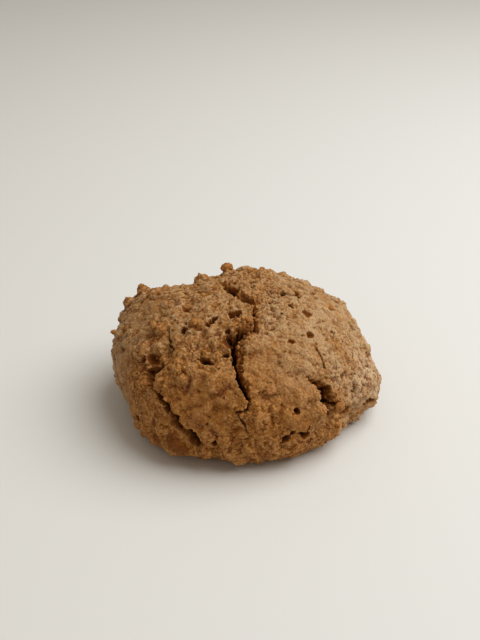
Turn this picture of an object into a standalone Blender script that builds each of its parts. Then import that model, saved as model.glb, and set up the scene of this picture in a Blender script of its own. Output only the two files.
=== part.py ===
"""A domed, craggy drop cookie, baked free-form on a flat tray.

One solid of baked dough. Its form comes from a smooth leaning dome with a few broad swells, then
relief is pressed into that skin: rough patches, nubs of chopped nut under the crust, pits, and the
cracks that opened as the dough rose. The underside is flat where it lay on the tray.

Lengths inside the form are in millimetres, and MM turns them into metres. A place on the cookie is
a longitude and a latitude in degrees, seen from the dome's heart on the middle axis at the height
of the girth. Longitude 0 is the cookie's right, +X, and 270 is its front, -Y.
"""

import math
import random

import bmesh
import bpy
import numpy as np
from mathutils import Vector, noise

MM = 0.001

# The dome
HALF_WIDTH = 37.0  # before the swells, left to right
HALF_DEPTH = 34.6  # before the swells, front to back
HEIGHT = 36.6
GIRTH_HEIGHT = 9.5  # the widest level
UNDERCUT_REACH = 15.0  # how deep the rounding below the girth would go if the tray didn't cut it
FULLNESS = 2.25  # 2 is an ellipse, and more is squarer at the shoulder
LEAN = -0.12  # sideways shift for each millimetre above the girth
FOOT_ROUNDING = 1.0  # height over which the rim turns into the flat underside
FOOT_FLAT = 0.4  # dough that would hang less than this above the tray lies flat on it
TRAY_GRIP = (-1.5, 1.5)  # heights over which the relief comes in above the tray
MIDDLE = (1.13, 0.97)  # the middle of the finished outline, which is moved onto the origin

# Broad swells of the dough: longitude, latitude, reach in degrees, height
SWELLS = [
    (152, 30, 16, 3.1),
    (175, 12, 18, 1.2),
    (198, 0, 20, -2.1),
    (225, -6, 22, 0.6),
    (262, -6, 24, -1.7),
    (300, -6, 22, -1.2),
    (330, -6, 20, -1.0),
    (352, 0, 16, 3.6),
    (331, -5, 9, -1.7),
    (25, 22, 20, 2.8),
    (60, 38, 24, 2.0),
    (128, 40, 16, -2.9),
]

# Cracks. Each runs along its points, and each point has a longitude, a latitude, half the crack's
# width and its depth. "steep" is the side of the steep wall: 1 is the left of a walker who follows
# the points on the crust, and -1 the right. "lift" is how far the crust stands up on that side, and
# "bed" where the crack is deepest, from the steep wall at -1 to the easy one at 1.
CRACKS = {
    "crown_split": {
        "steep": -1,
        "lift": 0.45,
        "bed": -0.4,
        "points": [
            (112, 66, 0.8, 1.0),
            (104, 74, 1.8, 3.4),
            (83, 81, 2.5, 6.2),
            (28, 84, 2.0, 4.8),
            (342, 80, 2.4, 6.4),
            (326, 74, 1.4, 3.8),
            (313, 70, 0.8, 2.4),
            (303, 64, 0.8, 2.4),
            (296, 59, 0.9, 2.4),
            (285, 57, 1.1, 2.8),
            (277, 54, 1.5, 3.8),
            (273, 50, 1.7, 4.8),
            (273, 45, 1.4, 4.8),
            (272, 40, 1.2, 5.4),
            (274, 34, 1.3, 5.6),
            (276, 29, 1.4, 5.0),
            (276, 24, 1.0, 3.6),
            (274, 20, 0.7, 2.0),
        ],
    },
    "left_split": {
        "steep": 1,
        "lift": 0.8,
        "bed": 0.2,
        "points": [
            (228, 33, 0.6, 1.2),
            (226, 31, 0.9, 2.8),
            (223, 29, 1.7, 4.6),
            (222, 26, 2.2, 5.8),
            (225, 23, 1.7, 5.0),
            (229, 21, 0.9, 3.6),
            (233, 19, 1.2, 3.6),
            (236, 17, 1.0, 3.6),
            (239, 14, 1.2, 4.2),
            (241, 12, 1.6, 5.2),
            (244, 8, 1.1, 4.0),
            (248, 5, 1.9, 5.6),
            (250, 1, 1.9, 4.8),
            (250, -2, 0.8, 1.2),
        ],
    },
    "right_split": {
        "steep": -1,
        "lift": 1.0,
        "bed": 0.1,
        "points": [
            (310, 28, 0.5, 0.8),
            (312, 25, 0.6, 1.6),
            (314, 22, 1.4, 3.8),
            (315, 19, 2.2, 5.8),
            (316, 15, 2.1, 5.4),
            (315, 11, 1.2, 3.0),
            (314, 7, 1.0, 2.0),
            (312, 3, 1.0, 1.8),
            (310, -2, 1.0, 1.8),
            (307, -6, 0.8, 1.0),
        ],
    },
    "right_branch": {
        "steep": 1,
        "lift": 0.6,
        "bed": -0.2,
        "points": [
            (315, 14, 1.1, 2.4),
            (318, 12, 0.9, 2.2),
            (321, 9, 1.4, 3.2),
            (325, 5, 1.8, 4.0),
            (329, 3, 1.6, 3.4),
            (332, 3, 0.7, 1.2),
        ],
    },
    "front_slit": {
        "steep": 1,
        "lift": 0.2,
        "bed": 0.0,
        "points": [(249, 42, 0.5, 1.0), (253, 42, 1.0, 3.2), (257, 41, 0.9, 3.0), (260, 40, 0.4, 1.0)],
    },
    "skirt_split": {
        "steep": 1,
        "lift": 0.6,
        "bed": -0.4,
        "points": [
            (335, -6, 0.8, 0.8),
            (338, -4, 1.0, 1.6),
            (341, 0, 1.3, 2.4),
            (348, -2, 1.2, 2.2),
            (356, 0, 1.0, 2.0),
            (3, -1, 1.2, 1.6),
            (9, 3, 0.8, 0.8),
        ],
    },
    "back_split": {
        "steep": 1,
        "lift": 0.7,
        "bed": -0.4,
        "points": [
            (74, 60, 0.8, 1.0),
            (70, 48, 1.3, 2.6),
            (77, 38, 1.6, 3.6),
            (72, 27, 1.4, 3.0),
            (80, 17, 1.1, 2.0),
            (83, 9, 0.8, 1.0),
        ],
    },
    "back_left_split": {
        "steep": -1,
        "lift": 0.8,
        "bed": -0.4,
        "points": [
            (130, 24, 0.8, 1.0),
            (136, 17, 1.4, 2.6),
            (146, 11, 1.6, 3.0),
            (154, 3, 1.2, 2.0),
        ],
    },
}
LIFT_REACH = 4.0  # how far back from a crack the lifted crust settles
LIFT_STARTS = (0.6, 1.2)  # from the crack's middle, in half widths
LIFTING_DEPTHS = (0.8, 2.0)  # a crack shallower than this lifts nothing, and a deeper one all it can
STEEP_WALL = 3.0  # more is steeper
EASY_WALL = 1.4

# Nubs of chopped nut that stand out where the picture's outline and shadows show them:
# longitude, latitude, radius, height
NUBS = [
    (94, 52, 1.9, 3.1),
    (119, 50, 2.9, 2.2),
    (152, 34, 2.1, 1.9),
    (160, 44, 2.3, 1.3),
    (161, 29, 1.9, 1.4),
    (180, 24, 1.8, 1.3),
    (209, 33, 3.0, 1.6),
    (208, 46, 2.2, 1.4),
    (242, 30, 1.9, 1.0),
    (260, 32, 3.3, 1.0),
    (234, 59, 1.9, 1.3),
    (68, 50, 2.6, 1.3),
    (52, 42, 2.2, 1.1),
    (40, 36, 1.8, 1.1),
    (24, 26, 2.3, 1.4),
    (0, 14, 1.9, 1.3),
    (347, 7, 2.8, 1.2),
    (320, 15, 1.6, 0.9),
    (288, 66, 1.3, 1.1),
    (294, 64, 1.0, 0.8),
    (281, 61, 1.4, 1.2),
    (287, 59, 1.1, 0.9),
    (277, 66, 1.1, 0.8),
    (272, 61, 1.3, 1.0),
    (264, 50, 1.2, 0.8),
    (286, 50, 2.6, 0.8),
    (317, 37, 2.5, 0.9),
    (236, -7, 2.4, 1.5),
    (252, -5, 2.6, 1.5),
    (267, -9, 2.8, 1.6),
    (190, 4, 2.2, 1.0),
    (170, 60, 2.2, 0.9),
]

# Soft mounds and hollows of the crust: longitude, latitude, reach, height
SOFT_FORMS = [
    (233, 27, 1.8, 1.1),
    (237, 35, 2.3, 1.1),
    (246, 35, 1.5, 0.9),
    (250, 31, 1.5, 0.8),
    (254, 36, 1.3, 0.7),
    (255, 28, 1.9, 1.0),
    (258, 33, 1.3, 0.7),
    (250, 24, 1.6, 0.9),
    (245, 21, 1.3, 0.6),
    (262, 24, 1.5, 0.7),
    (256, 21, 1.6, 0.7),
    (266, 34, 1.5, 0.6),
    (262, 38, 1.7, 0.8),
    (252, 17, 1.5, 0.7),
    (258, 14, 1.9, 0.8),
    (266, 17, 1.9, 0.7),
    (262, 9, 1.6, 0.7),
    (254, 8, 1.6, 0.6),
    (303, 21, 3.0, 0.9),
    (289, 20, 2.4, 0.8),
    (281, 18, 2.0, 0.8),
    (295, 13, 2.0, 0.6),
    (308, 12, 2.0, 0.7),
    (306, 37, 2.4, 0.8),
    (298, 28, 2.0, 0.5),
    (312, 31, 1.6, 0.5),
    (222, 33, 2.2, -1.6),
    (217, 27, 1.6, -0.7),
    (228, 40, 1.8, -0.8),
    (262, 45, 1.8, -0.6),
    (294, 49, 2.0, 0.6),
    (311, 24, 1.8, -0.8),
    (186, 38, 3.0, -0.5),
    (197, 63, 1.8, -0.9),
    (318, -3, 2.6, 0.9),
]

# Pits where a bubble broke: longitude, latitude, radius, depth
PITS = [
    (226, 53, 1.0, 2.0),
    (248, 67, 0.9, 2.0),
    (246, 64, 0.9, 1.8),
    (244, 61, 0.8, 1.6),
    (273, 71, 1.2, 2.2),
    (280, 71, 1.4, 2.5),
    (287, 72, 1.2, 2.1),
    (352, 48, 1.5, 1.1),
    (354, 56, 1.1, 2.1),
    (350, 66, 1.4, 2.5),
    (332, 42, 1.1, 1.2),
    (316, 45, 1.0, 1.1),
    (48, 48, 1.3, 1.3),
    (18, 51, 1.0, 1.2),
    (298, 16, 1.0, 2.0),
    (291, 4, 1.3, 2.0),
    (294, 6, 0.9, 1.7),
    (289, 2, 0.8, 1.4),
    (300, 3, 1.3, 2.2),
    (302, 6, 0.9, 1.8),
    (298, 5, 0.8, 1.2),
    (258, 2, 1.0, 2.2),
    (217, 2, 1.2, 2.2),
    (218, 33, 1.5, 1.4),
    (198, 64, 1.5, 1.0),
    (110, 35, 1.6, 1.6),
    (45, 20, 1.4, 1.4),
    (128, 8, 1.5, 1.4),
    (269, 54, 1.3, 2.6),
    (267, 58, 0.9, 2.0),
    (276, 58, 0.8, 2.2),
    (283, 63, 0.8, 2.2),
    (290, 61, 0.7, 2.0),
    (276, 62, 0.6, 1.6),
    (266, 45, 0.7, 2.0),
    (96, 79, 1.2, 2.2),
    (70, 82, 1.0, 1.6),
    (336, 81, 1.4, 2.0),
    (214, 30, 0.9, 1.4),
    (324, 5, 1.5, 1.6),
    (318, 19, 1.2, 1.6),
]

# Nubs spread by the golden angle, from the largest down
SCATTERED_NUBS = 300
SCATTER_SEED = 7
SCATTER_LOWEST = -14.0  # latitude of the lowest one
SCATTER_WOBBLE = 7.0  # degrees of longitude that a nub may leave the rule by
SCATTER_RADII = (2.9, 1.2)  # the largest and the smallest
SCATTER_RISE = (0.30, 0.52)  # height as a share of the radius
GOLDEN_ANGLE = math.pi * (3.0 - math.sqrt(5.0))
LUMPS_BESIDE = 2  # smaller lumps fused to each nub, so that it isn't round
LUMP_REACH = (0.55, 0.95)  # how far aside, as a share of the nub's radius
LUMP_SHARE = (0.45, 0.75)  # size, as a share of the nub's

# Plates of smoother crust, where the scattered nubs hardly rise: longitude, latitude, reach
PLATES = [
    (253, 22, 15),
    (291, 36, 20),
    (318, 44, 16),
    (296, 10, 10),
    (180, 38, 11),
    (196, 6, 14),
    (10, 40, 14),
    (140, -2, 20),
]
PLATE_RISE = 0.3  # share of a nub's height in the middle of a plate

# Roughness of the crust: size of a patch, and how far it lifts the skin
ROUGH_PATCHES = [(13.0, 0.75), (6.0, 0.5), (3.2, 0.22)]
CRACK_WANDER = [(7.0, 0.9), (2.2, 0.5)]  # size, and how far a crack's edge leaves its line
CRACK_BREATHING = 0.35  # how much the width of a crack comes and goes
BREATHING_SIZE = 5.0
NUB_WANDER = 2.2  # size of the unevenness in a nub's outline
NUB_UNEVENNESS = 0.35  # how far a nub's outline leaves a circle
NUB_REACH = 1.5  # how far an uneven nub can reach, as a share of its radius
NUB_SHOULDER = 2.4  # 2 is a ball's, and more is fuller

SPHERE_DETAIL = 8  # subdivisions of the starting sphere
TRIANGLES_KEPT = 0.0335  # share left by the decimation, which keeps them where the relief is

CRUST_BROWN = (0.365, 0.190, 0.082, 1.0)


def direction(longitude, latitude):
    """The unit vector towards a place on the cookie."""
    lon, lat = math.radians(longitude), math.radians(latitude)
    return np.array([math.cos(lat) * math.cos(lon), math.cos(lat) * math.sin(lon), math.sin(lat)])


def dome(ways):
    """The smooth dough before relief: a point for each unit direction from the heart."""
    across = np.hypot(ways[:, 0] / HALF_WIDTH, ways[:, 1] / HALF_DEPTH)
    reach = np.where(ways[:, 2] > 0, HEIGHT - GIRTH_HEIGHT, UNDERCUT_REACH)
    upright = np.abs(ways[:, 2]) / reach
    radius = (across**FULLNESS + upright**FULLNESS) ** (-1.0 / FULLNESS)
    for longitude, latitude, spread, height in SWELLS:
        away = np.degrees(np.arccos(np.clip(ways @ direction(longitude, latitude), -1, 1)))
        radius = radius + height * np.exp(-((away / spread) ** 2))
    points = ways * radius[:, None]
    points[:, 0] += LEAN * points[:, 2]
    points[:, 2] += GIRTH_HEIGHT
    return points


def on_dome(longitude, latitude):
    """The point of the smooth dough at a longitude and latitude."""
    return dome(direction(longitude, latitude)[None, :])[0]


def smooth_step(low, high, value):
    """0 below low, 1 above high, and an S between."""
    t = np.clip((value - low) / (high - low), 0, 1)
    return t * t * (3 - 2 * t)


def ripple(points, size, shift=0.0):
    """Noise from -1 to 1 whose patches are about this size."""
    return np.array([noise.noise(Vector(p) / size + Vector((shift, 0, 0))) for p in points])


def layered(points, layers):
    """The sum of ripples, each given by its size and its height."""
    return sum(height * ripple(points, size, shift=size) for size, height in layers)


def plate_share(centre):
    """How much of its height a scattered nub keeps here."""
    way = centre - np.array([0, 0, GIRTH_HEIGHT])
    way /= np.linalg.norm(way)
    cover = 0.0
    for longitude, latitude, reach in PLATES:
        away = math.degrees(math.acos(np.clip(way @ direction(longitude, latitude), -1, 1)))
        cover = max(cover, math.exp(-((away / reach) ** 4)))
    return 1 - (1 - PLATE_RISE) * cover


def scattered_nubs(draw):
    """The nubs placed by rule, the largest first, as (point, radius, height)."""
    lowest = math.sin(math.radians(SCATTER_LOWEST))
    order = list(range(SCATTERED_NUBS))
    draw.shuffle(order)
    nubs = []
    for rank, slot in enumerate(order):
        share = math.sqrt(rank / SCATTERED_NUBS)
        latitude = math.degrees(math.asin(lowest + (1 - lowest) * (slot + 0.5) / SCATTERED_NUBS))
        longitude = math.degrees(slot * GOLDEN_ANGLE) + draw.uniform(-SCATTER_WOBBLE, SCATTER_WOBBLE)
        centre = on_dome(longitude, latitude)
        radius = SCATTER_RADII[0] + (SCATTER_RADII[1] - SCATTER_RADII[0]) * share
        height = radius * draw.uniform(*SCATTER_RISE) * plate_share(centre)
        nubs.append((centre, radius, height))
    return nubs


def knobbly(nubs, draw):
    """The nubs with the smaller lumps fused to each."""
    lumps = list(nubs)
    for centre, radius, height in nubs:
        for _ in range(LUMPS_BESIDE):
            aside = Vector([draw.gauss(0, 1) for _ in range(3)]).normalized()
            place = centre + np.array(aside) * radius * draw.uniform(*LUMP_REACH)
            share = draw.uniform(*LUMP_SHARE)
            lumps.append((place, radius * share, min(height * draw.uniform(share, 1), radius * share)))
    return lumps


def placed(features):
    """Features given by longitude and latitude, as (point, radius, height)."""
    return [(on_dome(lon, lat), radius, height) for lon, lat, radius, height in features]


def bulges(points, features, wander):
    """The tallest bulge over each point. Their outlines wander from a circle."""
    field = np.zeros(len(points))
    for centre, radius, height in features:
        offset = points - centre
        square = np.einsum("ij,ij->i", offset, offset)
        near = square < (NUB_REACH * radius) ** 2
        away = np.sqrt(square[near]) / radius * (1 + NUB_UNEVENNESS * wander[near])
        cap = height * np.sqrt(np.clip(1 - away**NUB_SHOULDER, 0, 1))
        field[near] = np.maximum(field[near], cap)
    return field


def crack_line(crack):
    """The crack's points on the dough, with half its width and its depth beside each."""
    return [(on_dome(lon, lat), half, depth) for lon, lat, half, depth in crack["points"]]


def across_crack(points, normals, line):
    """Signed distance from the nearest stretch of the crack, with the width and depth there."""
    best = np.full(len(points), 1e9)
    signed, half_width, depth = (np.zeros(len(points)) for _ in range(3))
    for (start, half_a, depth_a), (end, half_b, depth_b) in zip(line, line[1:]):
        along = end - start
        t = np.clip((points - start) @ along / (along @ along), 0, 1)
        offset = points - start - t[:, None] * along
        away = np.linalg.norm(offset, axis=1)
        side = np.sign(np.einsum("ij,ij->i", offset, np.cross(normals, along)))
        closer = away < best
        best[closer] = away[closer]
        signed[closer] = (side * away)[closer]
        half_width[closer] = (half_a + (half_b - half_a) * t)[closer]
        depth[closer] = (depth_a + (depth_b - depth_a) * t)[closer]
    return signed, half_width, depth


def crack_profile(u, bed):
    """Share of the full depth across a crack, which is deepest at its bed."""
    steep = 1 - np.clip((bed - u) / (1 + bed), 0, 1) ** STEEP_WALL
    easy = 1 - np.clip((u - bed) / (1 - bed), 0, 1) ** EASY_WALL
    return np.where(np.abs(u) < 1, np.where(u < bed, steep, easy), 0.0)


def crack_depth(points, normals, crack, wander, breathing):
    """How far the crack lowers each point, less what the crust beside it lifts."""
    signed, half_width, depth = across_crack(points, normals, crack_line(crack))
    signed = signed + wander
    half_width = half_width * (1 + breathing)
    u = -crack["steep"] * signed / half_width
    lifted = np.clip(-u, 0, None) * half_width - half_width
    fade = np.exp(-((np.clip(lifted, 0, None) / LIFT_REACH) ** 2)) * smooth_step(*LIFT_STARTS, -u)
    strength = smooth_step(*LIFTING_DEPTHS, depth)
    return depth * crack_profile(u, crack["bed"]) - crack["lift"] * strength * fade


def soft_forms(points):
    """What the soft mounds and hollows add over each point."""
    field = np.zeros(len(points))
    for centre, reach, height in placed(SOFT_FORMS):
        offset = points - centre
        field += height * np.exp(-np.einsum("ij,ij->i", offset, offset) / reach**2)
    return field


def press_relief(points, normals):
    """The dough's skin after its nubs, pits and cracks."""
    draw = random.Random(SCATTER_SEED)
    above_tray = smooth_step(*TRAY_GRIP, points[:, 2])
    outline = ripple(points, NUB_WANDER)
    height = layered(points, ROUGH_PATCHES)
    height += bulges(points, knobbly(placed(NUBS) + scattered_nubs(draw), draw), outline)
    height += soft_forms(points)
    height -= bulges(points, placed(PITS), outline)
    wander = layered(points, CRACK_WANDER)
    breathing = CRACK_BREATHING * ripple(points, BREATHING_SIZE)
    for crack in CRACKS.values():
        height -= crack_depth(points, normals, crack, wander, breathing)
    return points + normals * (height * above_tray)[:, None]


def set_on_tray(points):
    """Flattens what would be below the tray, with a small rounding at the rim, and centres it."""
    points[:, :2] -= MIDDLE
    z = points[:, 2]
    rim = (z + FOOT_ROUNDING) ** 2 / (4 * FOOT_ROUNDING)
    points[:, 2] = np.where(z > FOOT_ROUNDING, z, np.where(z < -FOOT_ROUNDING, 0.0, rim))
    points[points[:, 2] < FOOT_FLAT, 2] = 0.0
    return points


def read_vectors(mesh, what):
    """The mesh's vertex coordinates or normals as rows of three."""
    values = np.empty(len(mesh.vertices) * 3, np.float32)
    mesh.vertices.foreach_get(what, values)
    return values.reshape(-1, 3).astype(float)


def write_points(mesh, points):
    """Moves the mesh's vertices to these points, in metres."""
    mesh.vertices.foreach_set("co", (points * MM).astype(np.float32).ravel())
    mesh.update()


def crust_material():
    """Dry, matt, light brown baked crust."""
    material = bpy.data.materials.new("cookie_crust")
    material.use_nodes = True
    shader = material.node_tree.nodes["Principled BSDF"]
    shader.inputs["Base Color"].default_value = CRUST_BROWN
    shader.inputs["Roughness"].default_value = 0.85
    shader.inputs["Metallic"].default_value = 0.0
    return material


def make_cookie(collection):
    """The cookie: a sphere shaped into the dome, pressed with relief and set on the tray."""
    mesh = bpy.data.meshes.new("cookie")
    shell = bmesh.new()
    bmesh.ops.create_icosphere(shell, subdivisions=SPHERE_DETAIL, radius=1.0)
    shell.to_mesh(mesh)
    shell.free()

    ways = read_vectors(mesh, "co")
    ways /= np.linalg.norm(ways, axis=1)[:, None]
    skin = dome(ways)
    write_points(mesh, skin)
    write_points(mesh, press_relief(skin, read_vectors(mesh, "normal")))

    cookie = bpy.data.objects.new("cookie", mesh)
    collection.objects.link(cookie)
    thinned = cookie.modifiers.new("fewer_facets", "DECIMATE")
    thinned.ratio = TRIANGLES_KEPT
    bpy.context.view_layer.objects.active = cookie
    bpy.ops.object.modifier_apply(modifier=thinned.name)

    write_points(mesh, set_on_tray(read_vectors(mesh, "co") / MM))
    mesh.shade_smooth()
    mesh.materials.append(crust_material())


def main():
    for old in list(bpy.data.objects):
        bpy.data.objects.remove(old)
    collection = bpy.data.collections.new("Cookie")
    bpy.context.scene.collection.children.link(collection)
    make_cookie(collection)


main()
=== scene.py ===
"""A craggy, domed chocolate and nut drop cookie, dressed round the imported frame.

The crust is one closed skin: a sphere shaped into a leaning dome, then pressed with nubs of chopped
nut, soft cobbles, pimples, pinholes and the cracks that opened as the dough rose. Grains of crumb,
bits of bare nut and flecks of nut skin lie on it, each kind one joined piece.

Lengths inside the form are in millimetres, and MM turns them into metres. A place on the cookie is
a longitude and a latitude in degrees, seen from the dome's heart on the middle axis at the height
of the girth. Longitude 0 is the cookie's right, +X, and 270 is its front, -Y.
"""

import math
import random

import bpy
import numpy as np
from bpy.props import FloatProperty, FloatVectorProperty, IntProperty, PointerProperty
from mathutils import Matrix, Vector, kdtree, noise
from mathutils.bvhtree import BVHTree


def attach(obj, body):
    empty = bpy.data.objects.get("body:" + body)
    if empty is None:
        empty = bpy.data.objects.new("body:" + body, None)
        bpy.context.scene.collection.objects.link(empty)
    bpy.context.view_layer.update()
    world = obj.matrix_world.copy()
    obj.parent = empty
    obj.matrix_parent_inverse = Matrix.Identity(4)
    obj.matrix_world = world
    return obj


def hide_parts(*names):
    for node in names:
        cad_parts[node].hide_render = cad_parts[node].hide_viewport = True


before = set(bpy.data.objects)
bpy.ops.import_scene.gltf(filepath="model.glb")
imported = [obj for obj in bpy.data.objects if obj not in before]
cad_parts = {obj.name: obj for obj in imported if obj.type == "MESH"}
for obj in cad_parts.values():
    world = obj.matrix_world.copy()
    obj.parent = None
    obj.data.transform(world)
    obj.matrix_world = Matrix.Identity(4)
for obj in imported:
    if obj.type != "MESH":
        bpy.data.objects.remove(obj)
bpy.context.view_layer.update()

bl_info = {
    "name": "Chocolate Cookie",
    "version": (1, 0, 0),
    "blender": (4, 5, 0),
    "location": "View3D > Sidebar > Cookie",
    "description": "Models a craggy drop cookie and the stage it stands on",
    "category": "Mesh",
}

MM = 0.001

# ---------------------------------------------------------------- the dough's form, as in the solid

UNDERCUT_REACH = 15.0  # how deep the rounding below the girth would go if the tray didn't cut it
FOOT_ROUNDING = 1.0  # height over which the rim turns into the flat underside
FOOT_FLAT = 0.4  # dough that would hang less than this above the tray lies flat on it
MIDDLE = (1.13, 0.97)  # the middle of the finished outline, which is moved onto the origin

# Broad swells of the dough: longitude, latitude, reach in degrees, height
SWELLS = [
    (152, 30, 16, 3.1),
    (175, 12, 18, 1.2),
    (198, 0, 20, -2.1),
    (225, -6, 22, 0.6),
    (262, -6, 24, -1.7),
    (300, -6, 22, -1.2),
    (330, -6, 20, -1.0),
    (352, 0, 16, 3.6),
    (331, -5, 9, -1.7),
    (25, 22, 20, 2.8),
    (60, 38, 24, 2.0),
    (128, 40, 16, -2.9),
]

# Cracks. Each runs along its points, and each point has a longitude, a latitude, half the crack's
# width and its depth. "steep" is the side of the steep wall: 1 is the left of a walker who follows
# the points on the crust, and -1 the right. "lift" is how far the crust stands up on that side,
# "overhang" how far its lip leans out over the crack, and "bed" where the crack is deepest, from the
# steep wall at -1 to the easy one at 1. "ledge" is the share of the depth at which torn crumb stands
# on the easy side, where it doesn't just slope.
CRACKS = {
    "crown_split": {
        "steep": -1,
        "lift": 0.45,
        "overhang": 0.3,
        "bed": -0.4,
        "ledge": 0.4,
        "points": [
            (112, 66, 0.8, 1.0),
            (104, 74, 1.8, 3.4),
            (83, 81, 2.5, 6.2),
            (28, 84, 2.0, 4.8),
            (342, 80, 2.4, 6.4),
            (326, 74, 1.4, 3.8),
            (313, 70, 0.8, 2.4),
            (303, 64, 0.8, 2.4),
            (296, 59, 0.9, 2.4),
            (285, 57, 1.1, 2.8),
            (277, 54, 1.9, 3.8),
            (273, 50, 2.2, 4.8),
            (272, 45, 2.0, 4.8),
            (272, 40, 1.6, 5.4),
            (274, 34, 1.5, 5.6),
            (276, 29, 1.4, 5.0),
            (276, 24, 1.0, 3.6),
            (274, 20, 0.7, 2.0),
        ],
    },
    "left_split": {
        "steep": 1,
        "lift": 0.5,
        "overhang": 0.1,
        "bed": 0.2,
        "ledge": 0.45,
        "points": [
            (228, 33, 0.6, 1.2),
            (227, 31, 0.9, 2.8),
            (225, 29, 2.0, 4.6),
            (224, 26, 2.6, 5.8),
            (226, 23, 2.0, 5.0),
            (229, 21, 0.9, 3.6),
            (233, 19, 1.2, 3.6),
            (236, 17, 1.0, 3.6),
            (239, 14, 1.2, 4.2),
            (241, 12, 1.6, 5.2),
            (244, 8, 1.1, 4.0),
            (248, 5, 1.9, 5.6),
            (250, 1, 1.9, 4.8),
            (250, -2, 0.8, 1.2),
        ],
    },
    "right_split": {
        "steep": -1,
        "lift": 1.0,
        "overhang": 0.3,
        "bed": 0.1,
        "ledge": 0.5,
        "points": [
            (310, 28, 0.5, 0.8),
            (312, 25, 0.6, 1.6),
            (314, 22, 1.4, 3.8),
            (315, 19, 2.2, 5.8),
            (316, 15, 2.1, 5.4),
            (315, 11, 1.2, 3.0),
            (314, 7, 1.0, 2.0),
            (312, 3, 1.0, 1.8),
            (310, -2, 1.0, 1.8),
            (307, -6, 0.8, 1.0),
        ],
    },
    "right_branch": {
        "steep": 1,
        "lift": 0.6,
        "overhang": 0.6,
        "bed": -0.2,
        "ledge": 0.0,
        "points": [
            (315, 14, 1.1, 2.4),
            (318, 12, 0.9, 2.2),
            (321, 9, 1.4, 3.2),
            (325, 5, 1.8, 4.0),
            (329, 3, 1.6, 3.4),
            (332, 3, 0.7, 1.2),
        ],
    },
    "front_slit": {
        "steep": 1,
        "lift": 0.2,
        "overhang": 0.0,
        "bed": 0.0,
        "ledge": 0.0,
        "points": [(249, 42, 0.5, 1.0), (252, 42, 1.1, 3.2), (255, 41, 0.9, 3.0), (258, 40, 0.4, 1.0)],
    },
    "skirt_split": {
        "steep": 1,
        "lift": 0.6,
        "overhang": 0.5,
        "bed": -0.4,
        "ledge": 0.0,
        "points": [
            (335, -6, 0.8, 0.8),
            (338, -4, 1.0, 1.6),
            (341, 0, 1.3, 2.4),
            (348, -2, 1.2, 2.2),
            (356, 0, 1.0, 2.0),
            (3, -1, 1.2, 1.6),
            (9, 3, 0.8, 0.8),
        ],
    },
    "back_split": {
        "steep": 1,
        "lift": 0.7,
        "overhang": 0.6,
        "bed": -0.4,
        "ledge": 0.0,
        "points": [
            (74, 60, 0.8, 1.0),
            (70, 48, 1.3, 2.6),
            (77, 38, 1.6, 3.6),
            (72, 27, 1.4, 3.0),
            (80, 17, 1.1, 2.0),
            (83, 9, 0.8, 1.0),
        ],
    },
    "back_left_split": {
        "steep": -1,
        "lift": 0.8,
        "overhang": 0.7,
        "bed": -0.4,
        "ledge": 0.0,
        "points": [
            (130, 24, 0.8, 1.0),
            (136, 17, 1.4, 2.6),
            (146, 11, 1.6, 3.0),
            (154, 3, 1.2, 2.0),
        ],
    },
}

# Hairlines and folds in the crust, too fine for the solid: longitude, latitude, half the width, depth
HAIRLINES = {
    "front_tail": [(274, 20, 0.5, 0.9), (270, 19, 0.35, 0.8), (272, 15, 0.35, 0.9), (274, 10, 0.3, 0.7), (275, 6, 0.2, 0.4)],
    "front_fold": [(278, 25, 0.6, 0.3), (282, 26, 1.2, 0.9), (287, 25, 1.2, 0.9), (292, 25, 0.6, 0.3)],
    "right_plate": [(327, 38, 0.25, 0.4), (325, 34, 0.4, 1.1), (323, 31, 0.55, 1.5), (321, 27, 0.3, 0.7)],
    "left_plate": [(213, 50, 0.22, 0.4), (220, 46, 0.35, 0.8), (225, 43, 0.45, 1.0), (230, 42, 0.3, 0.6)],
    "top_flake": [(22, 68, 0.3, 0.6), (12, 66, 0.6, 1.6), (13, 61, 0.7, 1.8), (15, 56, 0.6, 1.6), (14, 50, 0.4, 0.8)],
    "left_scratch": [(221, 15, 0.2, 0.3), (223, 17, 0.3, 0.6), (226, 18, 0.2, 0.4)],
    "low_crease": [(287, 11, 0.2, 0.3), (290, 10, 0.3, 0.5), (293, 8, 0.3, 0.5), (296, 7, 0.2, 0.3)],
    "back_plate": [(100, 44, 0.22, 0.4), (106, 36, 0.4, 0.9), (103, 28, 0.4, 0.8), (108, 20, 0.25, 0.4)],
    "far_side": [(30, 32, 0.22, 0.4), (37, 25, 0.4, 0.9), (34, 17, 0.35, 0.7), (41, 10, 0.25, 0.4)],
}

# Where the crust is gone and crumb shows beside a crack: longitude, latitude, reach in millimetres
CRUMB_PATCHES = [
    (316, 8, 1.5),
    (316, 3, 2.3),
    (317, -2, 3.4),
    (320, -7, 3.0),
    (234, 18, 1.8),
    (107, 73, 2.0),
    (283, 60, 3.6),
    (352, 77, 2.0),
    (76, 33, 3.0),
]
LIFT_REACH = 4.0  # how far back from a crack the lifted crust settles

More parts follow.
